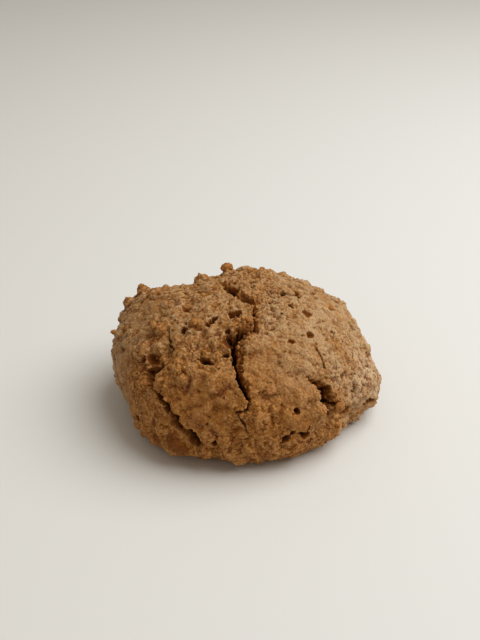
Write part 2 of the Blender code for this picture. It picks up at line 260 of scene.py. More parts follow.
# Nubs of chopped nut that stand out: longitude, latitude, radius, height, kind
NUBS = [
    (94, 52, 1.5, 1.6, "knob"),
    (119, 50, 2.9, 2.2, "crumbly"),
    (152, 34, 2.1, 1.9, "brown"),
    (160, 44, 2.3, 1.3, "brown"),
    (161, 29, 1.9, 1.4, "brown"),
    (180, 24, 1.8, 1.3, "crumbly"),
    (209, 33, 3.0, 1.6, "crumbly"),
    (208, 46, 2.2, 1.4, "brown"),
    (242, 30, 1.9, 1.0, "crumbly"),
    (260, 32, 3.3, 1.0, "soft"),
    (234, 59, 1.9, 1.3, "brown"),
    (68, 50, 2.6, 1.3, "crumbly"),
    (52, 42, 2.2, 1.1, "soft"),
    (40, 36, 1.8, 1.1, "soft"),
    (24, 26, 2.3, 1.4, "soft"),
    (0, 14, 1.9, 1.3, "nut"),
    (347, 7, 2.8, 1.2, "soft"),
    (320, 15, 1.6, 0.9, "brown"),
    (288, 66, 1.3, 1.1, "brown"),
    (294, 64, 1.0, 0.8, "brown"),
    (281, 61, 1.4, 1.2, "brown"),
    (287, 59, 1.1, 0.9, "brown"),
    (277, 66, 1.1, 0.8, "brown"),
    (272, 61, 1.3, 1.0, "brown"),
    (264, 50, 1.2, 0.8, "brown"),
    (286, 50, 2.6, 0.8, "soft"),
    (317, 37, 2.5, 0.9, "soft"),
    (236, -7, 2.4, 1.5, "soft"),
    (252, -5, 2.6, 1.5, "crumbly"),
    (267, -9, 2.8, 1.6, "soft"),
    (190, 4, 2.2, 1.0, "soft"),
    (170, 60, 2.2, 0.9, "soft"),
]
KIND_CHANCES = (("soft", 0.62), ("crumbly", 0.90), ("nut", 1.0))  # of a scattered nub, added up

# Soft mounds and hollows of the crust: longitude, latitude, reach, height
SOFT_FORMS = [
    (233, 27, 1.8, 1.1),
    (237, 35, 2.3, 1.1),
    (246, 35, 1.5, 0.9),
    (250, 31, 1.5, 0.8),
    (254, 36, 1.3, 0.7),
    (255, 28, 1.9, 1.0),
    (258, 33, 1.3, 0.7),
    (250, 24, 1.6, 0.9),
    (245, 21, 1.3, 0.6),
    (262, 24, 1.5, 0.7),
    (256, 21, 1.6, 0.7),
    (266, 34, 1.5, 0.6),
    (262, 38, 1.7, 0.8),
    (252, 17, 1.5, 0.7),
    (258, 14, 1.9, 0.8),
    (266, 17, 1.9, 0.7),
    (262, 9, 1.6, 0.7),
    (254, 8, 1.6, 0.6),
    (303, 21, 3.0, 0.9),
    (289, 20, 2.4, 0.8),
    (281, 18, 2.0, 0.8),
    (295, 13, 2.0, 0.6),
    (308, 12, 2.0, 0.7),
    (306, 37, 2.4, 0.8),
    (298, 28, 2.0, 0.5),
    (312, 31, 1.6, 0.5),
    (222, 33, 2.2, -1.6),
    (217, 27, 1.6, -0.7),
    (228, 40, 1.8, -0.8),
    (262, 45, 1.8, -0.6),
    (294, 49, 2.0, 0.6),
    (311, 24, 1.8, -0.8),
    (186, 38, 3.0, -0.5),
    (197, 63, 1.8, -0.9),
    (318, -3, 2.6, 0.9),
]

# Blotches that browned more, the last two being painted shade in the hollows beside the left crack: longitude,
# latitude, reach
STAINS = [
    (239, 0, 3.0),
    (242, -3, 3.0),
    (229, -3, 1.8),
    (210, -4, 1.8),
    (222, 33, 1.9),
    (216, 27, 1.6),
]

# Torn layers that stayed golden: longitude, latitude, reach
TORN_LAYERS = [(318, 6, 3.0), (322, -2, 2.8), (313, 0, 2.6)]

# Pits where a bubble broke: longitude, latitude, radius, depth
PITS = [
    (226, 53, 1.0, 2.0),
    (248, 67, 0.9, 2.0),
    (246, 64, 0.9, 1.8),
    (244, 61, 0.8, 1.6),
    (273, 71, 1.2, 2.2),
    (280, 71, 1.4, 2.5),
    (287, 72, 1.2, 2.1),
    (352, 48, 1.5, 1.1),
    (354, 56, 1.1, 2.1),
    (350, 66, 1.4, 2.5),
    (332, 42, 1.1, 1.2),
    (316, 45, 1.0, 1.1),
    (48, 48, 1.3, 1.3),
    (18, 51, 1.0, 1.2),
    (298, 16, 1.0, 2.0),
    (291, 4, 1.3, 2.0),
    (294, 6, 0.9, 1.7),
    (289, 2, 0.8, 1.4),
    (300, 3, 1.3, 2.2),
    (302, 6, 0.9, 1.8),
    (298, 5, 0.8, 1.2),
    (258, 2, 1.0, 2.2),
    (217, 2, 1.2, 2.2),
    (218, 33, 1.5, 1.4),
    (198, 64, 1.5, 1.0),
    (110, 35, 1.6, 1.6),
    (45, 20, 1.4, 1.4),
    (128, 8, 1.5, 1.4),
    (269, 54, 1.3, 2.6),
    (268, 52, 2.0, 1.6),
    (87, 79, 1.5, 1.9),
    (338, 79, 1.6, 1.9),
    (315, 71, 0.9, 1.8),
    (267, 58, 0.9, 2.0),
    (276, 58, 0.8, 2.2),
    (283, 63, 0.8, 2.2),
    (290, 61, 0.7, 2.0),
    (276, 62, 0.6, 1.6),
    (266, 45, 0.7, 2.0),
    (96, 79, 1.2, 2.2),
    (70, 82, 1.0, 1.6),
    (336, 81, 1.4, 2.0),
    (214, 30, 0.9, 1.4),
    (324, 5, 1.5, 1.6),
    (318, 19, 1.2, 1.6),
]

SCATTER_SEED = 7
SCATTER_LOWEST = -14.0  # latitude of the lowest scattered nub
SCATTER_RADII = (2.9, 1.2)
SCATTER_RISE = (0.30, 0.52)  # height as a share of the radius
GOLDEN_ANGLE = math.pi * (3.0 - math.sqrt(5.0))
LUMPS_BESIDE = 2  # smaller lumps fused to each nub, so that it isn't round
LUMP_REACH = (0.55, 0.95)  # how far aside, as a share of the nub's radius
LUMP_SHARE = (0.45, 0.75)  # size, as a share of the nub's

# Plates of smoother crust, where the scattered nubs hardly rise: longitude, latitude, reach
PLATES = [
    (253, 22, 15),
    (291, 36, 20),
    (318, 44, 16),
    (296, 10, 10),
    (180, 38, 11),
    (196, 6, 14),
    (10, 40, 14),
    (140, -2, 20),
]
CALM_PATCHES = [(236, 56, 10), (212, 46, 8), (196, 22, 10)]  # where just the fine grain is smoother
PLATE_RISE = 0.3  # share of a nub's height in the middle of a plate

ROUGH_PATCHES = [(13.0, 0.75), (6.0, 0.5), (3.2, 0.22)]  # size of a patch, and how far it lifts
CRACK_WANDER = [(7.0, 0.9), (2.2, 0.5)]  # size, and how far a crack's edge leaves its line
CRACK_BREATHING = 0.35  # how much the width of a crack comes and goes
BREATHING_SIZE = 5.0
NUB_WANDER = 2.2  # size of the unevenness in a nub's outline

# ---------------------------------------------------------------- the fine crust

SPHERE_DETAIL = 8  # subdivisions of the starting sphere
CRACK_MARGIN = 1.6  # how far past its edge a crack gets the finer mesh
CRUST_TRIANGLES = 196_000
FINE_SEED = 23
WARP = [(2.6, 0.45), (1.1, 0.30), (0.55, 0.13)]  # size, and how far outlines are pushed about
RAGGED_LIP = [(2.4, 0.36), (1.2, 0.42), (0.6, 0.38), (0.35, 0.2)]  # size, and how far a torn edge leaves the line
CRUMB_GRAIN = [(1.3, 0.45), (0.7, 0.28), (0.4, 0.10)]  # the broken crumb in the cracks
CRUST_GRAIN = [(1.6, 0.14), (0.8, 0.18), (0.45, 0.11)]  # the fine unevenness everywhere
CAULIFLOWER = [(4.2, 0.6)]  # wrinkles with rounded hollows between
BLISTERED = [(2.6, 0.7), (1.3, 0.5)]  # rounded swellings with creases between
CURDLED_PATCH = 12.0  # size of the patches where the swellings are stronger or weaker
GRAIN_PATCH = 6.0  # size of the patches where the grain is rougher or finer
FLAKED = [(6.5, 1.0), (2.0, 0.35), (0.8, 0.2)]  # noise that says where the papery top came away
FLAKED_EDGE = (0.36, 0.42)
FLAKE_DEPTH = 0.28
NUB_CLOTS = [(1.5, 0.5), (0.8, 0.35)]  # how a crumbly nub is broken up, as a share of its height
FLAT_SIDES = 7  # sides of a chopped nut under the crust
SIDE_SHARPNESS = 5.0

COBBLES = {"lowest": -18, "radii": (2.2, 0.9), "rise": (0.06, 0.16), "steep": 2.0, "round": 1.2}
PIMPLES = {"lowest": -16, "radii": (0.9, 0.42), "rise": (0.2, 0.45), "steep": 2.2, "round": 0.8}
PINHOLES = {"lowest": -14, "radii": (0.75, 0.25), "rise": (0.6, 1.2), "steep": 2.0, "round": 0.7}
CRUMBS = {"lowest": -18, "radii": (1.1, 0.5), "rise": (0.5, 0.9), "steep": 2.2, "round": 0.6}
PIMPLE_PATCH = 9.0  # size of the patches where pimples crowd
GAP = 0.36  # half the width of the slot in the bed of a deep crack, which is painted dark as shade
GAP_SHARE = 0.2  # or this share of half the crack's width, where that is more
GAP_DEPTH = 1.3
CRUSTY_RIM = (9.0, 3.0)  # the rim turns crumbly from this height down to this one
BLUR_ROUNDS = 24  # passes that smooth the relief, which tells the raised tops, given painted highlight, from the dips, given painted shade


def direction(longitude, latitude):
    """The unit vector towards a place on the cookie."""
    lon, lat = math.radians(longitude), math.radians(latitude)
    return np.array([math.cos(lat) * math.cos(lon), math.cos(lat) * math.sin(lon), math.sin(lat)])


def smooth_step(low, high, value):
    """0 below low, 1 above high, and an S between."""
    t = np.clip((value - low) / (high - low), 0, 1)
    return t * t * (3 - 2 * t)


def ripple(points, size, shift=0.0):
    """Noise from -1 to 1 whose patches are about this size."""
    places = points / size + np.array([shift, 0, 0])
    return np.array(list(map(noise.noise, places.tolist())))


def layered(points, layers):
    """The sum of ripples, each given by its size and its height."""
    return sum(height * ripple(points, size, shift=size) for size, height in layers)


def pushed_about(points, layers):
    """The points moved by noise, so that whatever is measured from them gets an uneven outline."""
    moved = points.copy()
    for axis in range(3):
        for size, reach in layers:
            moved[:, axis] += reach * ripple(points, size, shift=17.0 * (axis + 1) + size)
    return moved


def heart():
    """The point that longitude and latitude are seen from, before the cookie is centred."""
    return np.array([0, 0, bpy.context.scene.cookie_form.girth_height / MM])


def dome(ways):
    """The smooth dough before relief: a point for each unit direction from the heart."""
    form = bpy.context.scene.cookie_form
    half_width, half_depth = form.half_width / MM, form.half_depth / MM
    height, girth = form.height / MM, form.girth_height / MM
    across = np.hypot(ways[:, 0] / half_width, ways[:, 1] / half_depth)
    reach = np.where(ways[:, 2] > 0, height - girth, UNDERCUT_REACH)
    upright = np.abs(ways[:, 2]) / reach
    radius = (across**form.fullness + upright**form.fullness) ** (-1.0 / form.fullness)
    for longitude, latitude, spread, swell in SWELLS:
        away = np.degrees(np.arccos(np.clip(ways @ direction(longitude, latitude), -1, 1)))
        radius = radius + swell * np.exp(-((away / spread) ** 2))
    points = ways * radius[:, None]
    points[:, 0] += form.lean * points[:, 2]
    points[:, 2] += girth
    return points


def on_dome(longitude, latitude):
    """The point of the smooth dough at a longitude and latitude."""
    return dome(direction(longitude, latitude)[None, :])[0]


def set_on_tray(points):
    """Flattens what would be below the tray, with a small rounding at the rim, and centres it."""
    points = points - np.array([*MIDDLE, 0])
    z = points[:, 2]
    rim = (z + FOOT_ROUNDING) ** 2 / (4 * FOOT_ROUNDING)
    points[:, 2] = np.where(z > FOOT_ROUNDING, z, np.where(z < -FOOT_ROUNDING, 0.0, rim))
    points[points[:, 2] < FOOT_FLAT, 2] = 0.0
    return points


def plate_cover(points, plates=PLATES):
    """How far each point lies in a smooth plate, from 0 to 1."""
    ways = points - heart()
    ways /= np.linalg.norm(ways, axis=1)[:, None]
    cover = np.zeros(len(points))
    for longitude, latitude, reach in plates:
        away = np.degrees(np.arccos(np.clip(ways @ direction(longitude, latitude), -1, 1)))
        cover = np.maximum(cover, np.exp(-((away / reach) ** 4)))
    return cover


def plate_share(centre):
    """How much of its height a scattered nub keeps here."""
    return 1 - (1 - PLATE_RISE) * plate_cover(centre[None, :])[0]


def spread_evenly(count, lowest, draw, wobble):
    """Places at the golden angle, from the lowest latitude up, as (longitude, latitude)."""
    floor = math.sin(math.radians(lowest))
    order = list(range(count))
    draw.shuffle(order)
    for slot in order:
        latitude = math.degrees(math.asin(floor + (1 - floor) * (slot + 0.5) / count))
        yield math.degrees(slot * GOLDEN_ANGLE) + draw.uniform(-wobble, wobble), latitude


def scattered_nubs(count, draw, kind_draw):
    """The nubs placed by rule, the largest first, as (point, radius, height, kind)."""
    nubs = []
    for rank, (longitude, latitude) in enumerate(spread_evenly(count, SCATTER_LOWEST, draw, 7)):
        share = math.sqrt(rank / count)
        centre = on_dome(longitude, latitude)
        radius = SCATTER_RADII[0] + (SCATTER_RADII[1] - SCATTER_RADII[0]) * share
        height = radius * draw.uniform(*SCATTER_RISE) * plate_share(centre)
        chance = kind_draw.random()
        kind = next(name for name, below in KIND_CHANCES if chance <= below)
        nubs.append((centre, radius, height, kind))
    return nubs


def knobbly(nubs, draw):
    """The nubs with the smaller lumps fused to each."""
    lumps = list(nubs)
    for centre, radius, height, kind in nubs:
        for _ in range(LUMPS_BESIDE):
            aside = Vector([draw.gauss(0, 1) for _ in range(3)]).normalized()
            place = centre + np.array(aside) * radius * draw.uniform(*LUMP_REACH)
            share = draw.uniform(*LUMP_SHARE)
            lump_height = min(height * draw.uniform(share, 1), radius * share)
            lumps.append((place, radius * share, lump_height, kind))
    return lumps


def read_vectors(mesh, what):
    """The mesh's vertex coordinates or normals as rows of three."""
    values = np.empty(len(mesh.vertices) * 3, np.float32)
    mesh.vertices.foreach_get(what, values)
    return values.reshape(-1, 3).astype(float)


def write_points(mesh, points):
    """Moves the mesh's vertices to these points, in metres."""
    mesh.vertices.foreach_set("co", (points * MM).astype(np.float32).ravel())
    mesh.update()


class Skin:
    """The dough's smooth skin in millimetres, which the relief is worked out on."""

    def __init__(self, points, normals):
        self.points = points
        self.normals = normals
        self.uneven = pushed_about(points, WARP)
        self.cover = plate_cover(points, PLATES + CALM_PATCHES)
        self.tree = kdtree.KDTree(len(points))
        for index, point in enumerate(self.uneven.tolist()):
            self.tree.insert(point, index)
        self.tree.balance()

    def around(self, centre, reach):
        """The numbers of the skin's points within reach, and their offsets from the centre."""
        near = np.array([index for _, index, _ in self.tree.find_range(centre, reach)], int)
        return near, self.uneven[near] - centre


def flat_sided(offsets, radius, draw):
    """Distance from a chopped nut's middle as a share of its radius, told by its flat sides."""
    sides = np.array([[draw.gauss(0, 1) for _ in range(3)] for _ in range(FLAT_SIDES)])
    sides /= np.linalg.norm(sides, axis=1)[:, None]
    sides /= np.array([[draw.uniform(0.7, 1.05)] for _ in range(FLAT_SIDES)])
    past = np.maximum(offsets @ sides.T, 0) / radius
    ball = np.linalg.norm(offsets, axis=1) / (1.15 * radius)
    return ((past**SIDE_SHARPNESS).sum(axis=1) + ball**SIDE_SHARPNESS) ** (1 / SIDE_SHARPNESS)


def raise_lumps(skin, lumps, draw):
    """The tallest nub over each point, and how bare of crust it is there."""
    rise = np.zeros(len(skin.points))
    bare = np.zeros(len(skin.points))
    clotted = layered(skin.points, NUB_CLOTS)
    for centre, radius, height, kind in lumps:
        near, offsets = skin.around(centre, 1.3 * radius)
        bareness = 0.6 * draw.random() if kind in ("crumbly", "nut") else 1.0
        if not len(near):
            continue
        away = np.linalg.norm(offsets, axis=1) / radius
        if kind == "soft":
            cap = height * np.clip(1 - away**2, 0, 1) ** 1.3
        elif kind == "knob":
            cap = height * np.sqrt(np.clip(1 - away**2.4, 0, 1))
        elif kind in ("crumbly", "brown"):
            cap = height * np.clip(1 - away**2.2, 0, 1) ** 0.7 * (1 + clotted[near])
        else:
            cap = height * np.clip(1 - flat_sided(offsets, radius, draw) ** 3, 0, 1) ** 0.6
        if kind != "soft":
            taller = cap > rise[near]
            bare[near[taller]] = bareness * smooth_step(0.1, 0.6, cap / height)[taller]
        rise[near] = np.maximum(rise[near], cap)
    return rise, bare


def dot(skin, count, kind, draw, keep=None):
    """The tallest small cap over each point, of caps spread over the whole skin."""
    field = np.zeros(len(skin.points))
    for rank, place in enumerate(spread_evenly(count, kind["lowest"], draw, 14)):
        share = (rank / count) ** 0.6
        radius = kind["radii"][0] + (kind["radii"][1] - kind["radii"][0]) * share
        height = radius * draw.uniform(*kind["rise"])
        squeeze = Vector([draw.gauss(0, 1) for _ in range(3)]).normalized()
        centre = on_dome(*place)
        if keep is not None and not keep(centre, draw):
            continue
        near, offsets = skin.around(centre, radius)
        if not len(near):
            continue
        along = offsets @ np.array(squeeze)
        away = np.sqrt(np.einsum("ij,ij->i", offsets, offsets) + 1.2 * along**2) / radius
        cap = height * np.clip(1 - away ** kind["steep"], 0, 1) ** kind["round"]
        field[near] = np.maximum(field[near], cap)
    return field


def crowded(centre, draw):
    """Whether a pimple grows here: they crowd in patches."""
    return noise.noise(Vector(centre) / PIMPLE_PATCH) + draw.uniform(-0.45, 0.45) > -0.12


def crack_line(points):
    """A crack's points on the dough, with half its width and its depth beside each."""
    return [(on_dome(lon, lat), half, depth) for lon, lat, half, depth in points]


def across_crack(points, normals, line):
    """Signed distance from the nearest stretch, width and depth there, and the way towards it."""
    best = np.full(len(points), 1e9)
    signed, half_width, depth = (np.zeros(len(points)) for _ in range(3))
    inward = np.zeros((len(points), 3))
    for (start, half_a, depth_a), (end, half_b, depth_b) in zip(line, line[1:]):
        along = end - start
        t = np.clip((points - start) @ along / (along @ along), 0, 1)
        offset = points - start - t[:, None] * along
        away = np.linalg.norm(offset, axis=1)
        side = np.sign(np.einsum("ij,ij->i", offset, np.cross(normals, along)))
        closer = away < best
        best[closer] = away[closer]
        signed[closer] = (side * away)[closer]
        half_width[closer] = (half_a + (half_b - half_a) * t)[closer]
        depth[closer] = (depth_a + (depth_b - depth_a) * t)[closer]
        inward[closer] = -offset[closer] / (away[closer] + 1e-6)[:, None]
    return signed, half_width, depth, inward


def crack_profile(u, bed, ledge):
    """Share of the full depth across a crack, which is deepest at its bed."""
    steep = 1 - np.clip((bed - u) / (1 + bed), 0, 1) ** 3
    outward = np.clip((u - bed) / (1 - bed), 0, 1)
    if ledge:
        easy = ledge * (1 - outward**6) + (1 - ledge) * smooth_step(0.5, 0.1, outward)
    else:
        easy = 1 - outward**1.4
    return np.where(np.abs(u) < 1, np.where(u < bed, steep, easy), 0.0)


class Relief:
    """What is pressed into the skin: height, sideways push, and how much crumb and lip shows."""

    def __init__(self, skin):
        self.skin = skin
        self.height = np.zeros(len(skin.points))
        self.push = np.zeros((len(skin.points), 3))
        self.crumb = np.zeros(len(skin.points))
        self.lip = np.zeros(len(skin.points))
        self.gap = np.zeros(len(skin.points))
        self.ochre = np.zeros(len(skin.points))
        self.straw = np.zeros(len(skin.points))

    def open_crack(self, crack, wander, breathing, ragged):
        """Opens one crack, lifts the crust beside it and leans its lip over."""
        line = crack_line(crack["points"])
        signed, half_width, depth, inward = across_crack(self.skin.points, self.skin.normals, line)
        half_width = half_width * (1 + breathing)
        u = -crack["steep"] * (signed + wander + ragged) / half_width
        past_edge = np.clip(-u, 0, None) * half_width - half_width
        strength = smooth_step(0.8, 2.0, depth)
        fade = np.exp(-((np.clip(past_edge, 0, None) / LIFT_REACH) ** 2)) * smooth_step(0.6, 1.2, -u)
        self.height -= depth * crack_profile(u, crack["bed"], crack["ledge"]) - crack["lift"] * strength * fade
        # this mask both deepens the crack's bed and marks it for painted shade in the finish
        reach = np.maximum(GAP, GAP_SHARE * half_width)
        gap = smooth_step(1.4, 0.6, np.abs(u - crack["bed"]) * half_width / reach)
        gap *= smooth_step(2.2, 3.4, depth)
        self.height -= GAP_DEPTH * gap
        self.gap = np.maximum(self.gap, gap)
        leaning = np.exp(-((np.clip(past_edge, 0, None) / 1.6) ** 2)) * smooth_step(0.75, 1.05, -u)
        self.push += inward * (crack["overhang"] * strength * leaning)[:, None]
        inside = smooth_step(1.05, 0.85, np.abs(u)) * smooth_step(0.4, 1.2, depth)
        self.crumb = np.maximum(self.crumb, inside)
        beside = np.abs(np.abs(u) - 1.1) * half_width
        self.lip = np.maximum(self.lip, np.exp(-((beside / 0.6) ** 2)) * strength)

    def draw_hairline(self, points, ragged):
        """Cuts a fine line with one edge a little higher than the other."""
        line = crack_line(points)
        signed, half_width, depth, _ = across_crack(self.skin.points, self.skin.normals, line)
        u = (signed + 0.8 * ragged) / half_width
        self.height -= depth * np.clip(1 - np.abs(u), 0, 1) ** 0.7
        strength = smooth_step(0.2, 0.9, depth)
        behind = np.exp(-np.clip(u, 0, None) * half_width / 1.5)
        self.height += 0.3 * strength * smooth_step(0.2, 1.2, u) * behind
        sharp = depth > half_width
        self.crumb = np.maximum(self.crumb, sharp * 0.8 * np.clip(1.3 - np.abs(u), 0, 1))
        # painted shade along the middle of the sharp hairlines
        self.gap = np.maximum(self.gap, sharp * smooth_step(0.9, 0.3, np.abs(u)) * smooth_step(0.5, 1.0, depth))

    def bare_crumb(self, longitude, latitude, reach, ragged):
        """Takes the crust off a patch and leaves rough crumb."""
        away = np.linalg.norm(self.skin.uneven - on_dome(longitude, latitude), axis=1)
        inside = smooth_step(1.08, 0.92, (away + 1.5 * ragged) / reach)
        self.crumb = np.maximum(self.crumb, inside)

    def flake(self, ragged):
        """Lets the papery top come away in patches."""
        where = layered(self.skin.uneven, FLAKED) + 0.3 * ragged - 0.25 * self.skin.cover
        gone = smooth_step(*FLAKED_EDGE, where)
        self.height -= FLAKE_DEPTH * gone
        self.crumb = np.maximum(self.crumb, 0.55 * gone)


def blurred(values, edges, rounds):
    """The values after being averaged with their neighbours along the mesh's edges."""
    a, b = edges[:, 0], edges[:, 1]
    count = np.bincount(a, minlength=len(values)) + np.bincount(b, minlength=len(values)) + 1
    for _ in range(rounds):
        total = np.bincount(a, weights=values[b], minlength=len(values))
        total += np.bincount(b, weights=values[a], minlength=len(values))
        values = (values + total) / count
    return values


def press_relief(skin):
    """Works out all that the oven did to the smooth dough."""
    form = bpy.context.scene.cookie_form
    relief = Relief(skin)
    draw = random.Random(SCATTER_SEED)
    fine_draw = random.Random(FINE_SEED)
    wander = layered(skin.points, CRACK_WANDER)
    breathing = CRACK_BREATHING * ripple(skin.points, BREATHING_SIZE)
    ragged = layered(skin.points, RAGGED_LIP)
    for crack in CRACKS.values():
        relief.open_crack(crack, wander, breathing, ragged)
    for points in HAIRLINES.values():
        relief.draw_hairline(points, ragged)
    for patch in CRUMB_PATCHES:
        relief.bare_crumb(*patch, ragged)
    relief.flake(ragged)

    placed = [(on_dome(lon, lat), radius, height, kind) for lon, lat, radius, height, kind in NUBS]
    lumps = knobbly(placed + scattered_nubs(form.nubs, draw, fine_draw), draw)
    nubs, bare = raise_lumps(skin, lumps, fine_draw)
    relief.height += layered(skin.points, ROUGH_PATCHES) + nubs
    for longitude, latitude, reach, height in SOFT_FORMS:
        near, offsets = skin.around(on_dome(longitude, latitude), 2 * reach)
        relief.height[near] += height * np.exp(-np.einsum("ij,ij->i", offsets, offsets) / reach**2)
    relief.height += dot(skin, form.cobbles, COBBLES, fine_draw)
    calm = 1 - 0.55 * skin.cover
    relief.height += calm * dot(skin, form.pimples, PIMPLES, fine_draw, crowded)
    relief.height -= dot(skin, form.pinholes, PINHOLES, fine_draw)
    coarse = 1 + 0.6 * ripple(skin.points, GRAIN_PATCH)
    relief.height += calm * coarse * layered(skin.uneven, CRUST_GRAIN)
    curdled = calm * (0.45 + 0.9 * smooth_step(-0.25, 0.35, ripple(skin.points, CURDLED_PATCH)))
    for size, height in CAULIFLOWER:
        relief.height += curdled * height * (0.25 - np.abs(ripple(skin.uneven, size, shift=3.0)))
    for size, height in BLISTERED:
        relief.height += curdled * height * (np.abs(ripple(skin.uneven, size, shift=3.0)) - 0.25)
    for longitude, latitude, radius, depth in PITS:
        near, offsets = skin.around(on_dome(longitude, latitude), radius)
        sunk = np.clip(1 - (np.linalg.norm(offsets, axis=1) / radius) ** 2.2, 0, 1) ** 0.7
        relief.height[near] -= depth * sunk
        relief.ochre[near] = np.maximum(relief.ochre[near], smooth_step(0.0, 0.5, sunk))
        # painted shade at the bottoms of the deeper pits
        dark = smooth_step(1.2, 1.9, depth) * smooth_step(0.5, 0.95, sunk)
        relief.gap[near] = np.maximum(relief.gap[near], dark)

    for longitude, latitude, reach in STAINS:
        near, offsets = skin.around(on_dome(longitude, latitude), 1.6 * reach)
        away = np.linalg.norm(offsets, axis=1) / reach + 0.4 * wander[near]
        relief.ochre[near] = np.maximum(relief.ochre[near], 0.9 * smooth_step(1.2, 0.4, away))
    for longitude, latitude, reach in TORN_LAYERS:
        near, offsets = skin.around(on_dome(longitude, latitude), 1.6 * reach)
        away = np.linalg.norm(offsets, axis=1) / reach + 0.4 * wander[near]
        relief.straw[near] = np.maximum(relief.straw[near], smooth_step(1.2, 0.4, away))

    def torn(centre, _):
        """Whether the crust is torn here, so that crumbs show."""
        _, index, _ = skin.tree.find(centre)
        return relief.crumb[index] > 0.4

    relief.crumb = np.maximum(relief.crumb, 0.3 * smooth_step(*CRUSTY_RIM, skin.points[:, 2]))
    bedded = relief.crumb * (1 - 0.6 * smooth_step(2.5, 4.5, -relief.height))
    relief.height += bedded * dot(skin, form.crumbs, CRUMBS, fine_draw, torn)
    relief.height += relief.crumb * layered(skin.points, CRUMB_GRAIN)
    return relief, bare


def near_tears(ways):
    """Which directions lie in a crack, a hairline or a pit, or just beside one."""
    points = dome(ways)
    close = np.zeros(len(points), bool)
    lines = [crack["points"] for crack in CRACKS.values()] + list(HAIRLINES.values())
    for line in map(crack_line, lines):
        for (start, half_a, _), (end, half_b, _) in zip(line, line[1:]):
            along = end - start
            t = np.clip((points - start) @ along / (along @ along), 0, 1)
            away = np.linalg.norm(points - start - t[:, None] * along, axis=1)
            close |= away < max(half_a, half_b) + CRACK_MARGIN
    for longitude, latitude, radius, _ in PITS:
        close |= np.linalg.norm(points - on_dome(longitude, latitude), axis=1) < radius + 0.6
    return close


def refine_near_tears(mesh):
    """Subdivides the starting sphere where a tear needs a finer mesh."""
    centres = np.empty(len(mesh.polygons) * 3, np.float32)
    mesh.polygons.foreach_get("center", centres)
    ways = centres.reshape(-1, 3).astype(float)
    ways /= np.linalg.norm(ways, axis=1)[:, None]
    mesh.vertices.foreach_set("select", np.zeros(len(mesh.vertices), bool))
    mesh.edges.foreach_set("select", np.zeros(len(mesh.edges), bool))
    mesh.polygons.foreach_set("select", near_tears(ways))
    bpy.ops.object.mode_set(mode="EDIT")
    bpy.ops.mesh.select_mode(type="FACE")
    bpy.ops.mesh.subdivide(number_cuts=1)
    bpy.ops.mesh.select_all(action="SELECT")
    bpy.ops.mesh.quads_convert_to_tris()
    bpy.ops.mesh.select_all(action="DESELECT")
    bpy.ops.object.mode_set(mode="OBJECT")


def add_values(mesh, name, values):
    """Keeps a value for each vertex, for the finish to read."""
    kept = mesh.attributes.new(name, "FLOAT", "POINT")
    kept.data.foreach_set("value", np.asarray(values, np.float32))


def shape_crust():
    """The crust's object, from a plain sphere to the finished skin and the values its finish reads."""
    bpy.ops.mesh.primitive_ico_sphere_add(subdivisions=SPHERE_DETAIL, radius=1.0)
    crust = bpy.context.object
    crust.name = crust.data.name = "crust"
    mesh = crust.data
    refine_near_tears(mesh)
    ways = read_vectors(mesh, "co")
    ways /= np.linalg.norm(ways, axis=1)[:, None]
    points = dome(ways)
    write_points(mesh, points)
    skin = Skin(points, read_vectors(mesh, "normal"))
    relief, bare = press_relief(skin)
    above_tray = smooth_step(-1.5, 1.5, points[:, 2])[:, None]
    moved = points + above_tray * (skin.normals * relief.height[:, None] + relief.push)
    write_points(mesh, set_on_tray(moved))

    edges = np.empty(len(mesh.edges) * 2, np.int32)
    mesh.edges.foreach_get("vertices", edges)
    stands_out = relief.height - blurred(relief.height, edges.reshape(-1, 2), BLUR_ROUNDS)
    # painted highlight: the tops of the relief are made paler
    add_values(mesh, "raised", smooth_step(0.02, 0.28, stands_out))
    # painted shade: the dips of the relief are darkened
    add_values(mesh, "hollow_shade", 1 - smooth_step(-0.32, 0.0, stands_out))
    add_values(mesh, "crumb", relief.crumb)
    add_values(mesh, "depth", np.clip(-relief.height / 5.0, 0, 1))
    add_values(mesh, "bare_nut", bare)
    add_values(mesh, "lip", relief.lip)
    # where painted shade darkens the beds of cracks, sharp hairlines and deep pits
    add_values(mesh, "gap", relief.gap)
    add_values(mesh, "ochre", relief.ochre)
    add_values(mesh, "straw", relief.straw)
    add_values(mesh, "calm", skin.cover)

    thinned = crust.modifiers.new("fewer_facets", "DECIMATE")
    thinned.ratio = min(1.0, CRUST_TRIANGLES / len(mesh.polygons))
    bpy.ops.object.modifier_apply(modifier=thinned.name)
    bpy.ops.object.shade_smooth()
    return crust


# ---------------------------------------------------------------- bits that lie on the crust

BIT_VARIANTS = 4
BIT_SEED = 41
RAY_START = 90.0  # rays come in from this far outside

# Heaps of loose grains, where the crust tore: longitude, latitude, reach, count
GRAIN_HEAPS = [
    (302, 65, 1.5, 14),
    (283, 60, 2.6, 34),
    (268, 55, 1.8, 18),
    (276, 47, 1.2, 8),
    (108, 72, 1.6, 10),
    (10, 84, 1.4, 10),
    (248, 4, 1.4, 12),
    (241, 12, 1.0, 5),
    (318, 14, 1.6, 14),
    (316, 1, 3.4, 26),
    (344, -1, 1.6, 8),
    (72, 42, 2.0, 14),
    (76, 31, 2.0, 16),
    (141, 13, 1.8, 12),
]

PROUD_NUTS = [(94, 52, 1.8, 0.3), (318.5, 13, 1.6, 1.1), (233, 59, 1.4, 0.35), (207, 46, 1.4, 0.35)]  # nuts that stand on a nub: and how far out, as a share of the radius

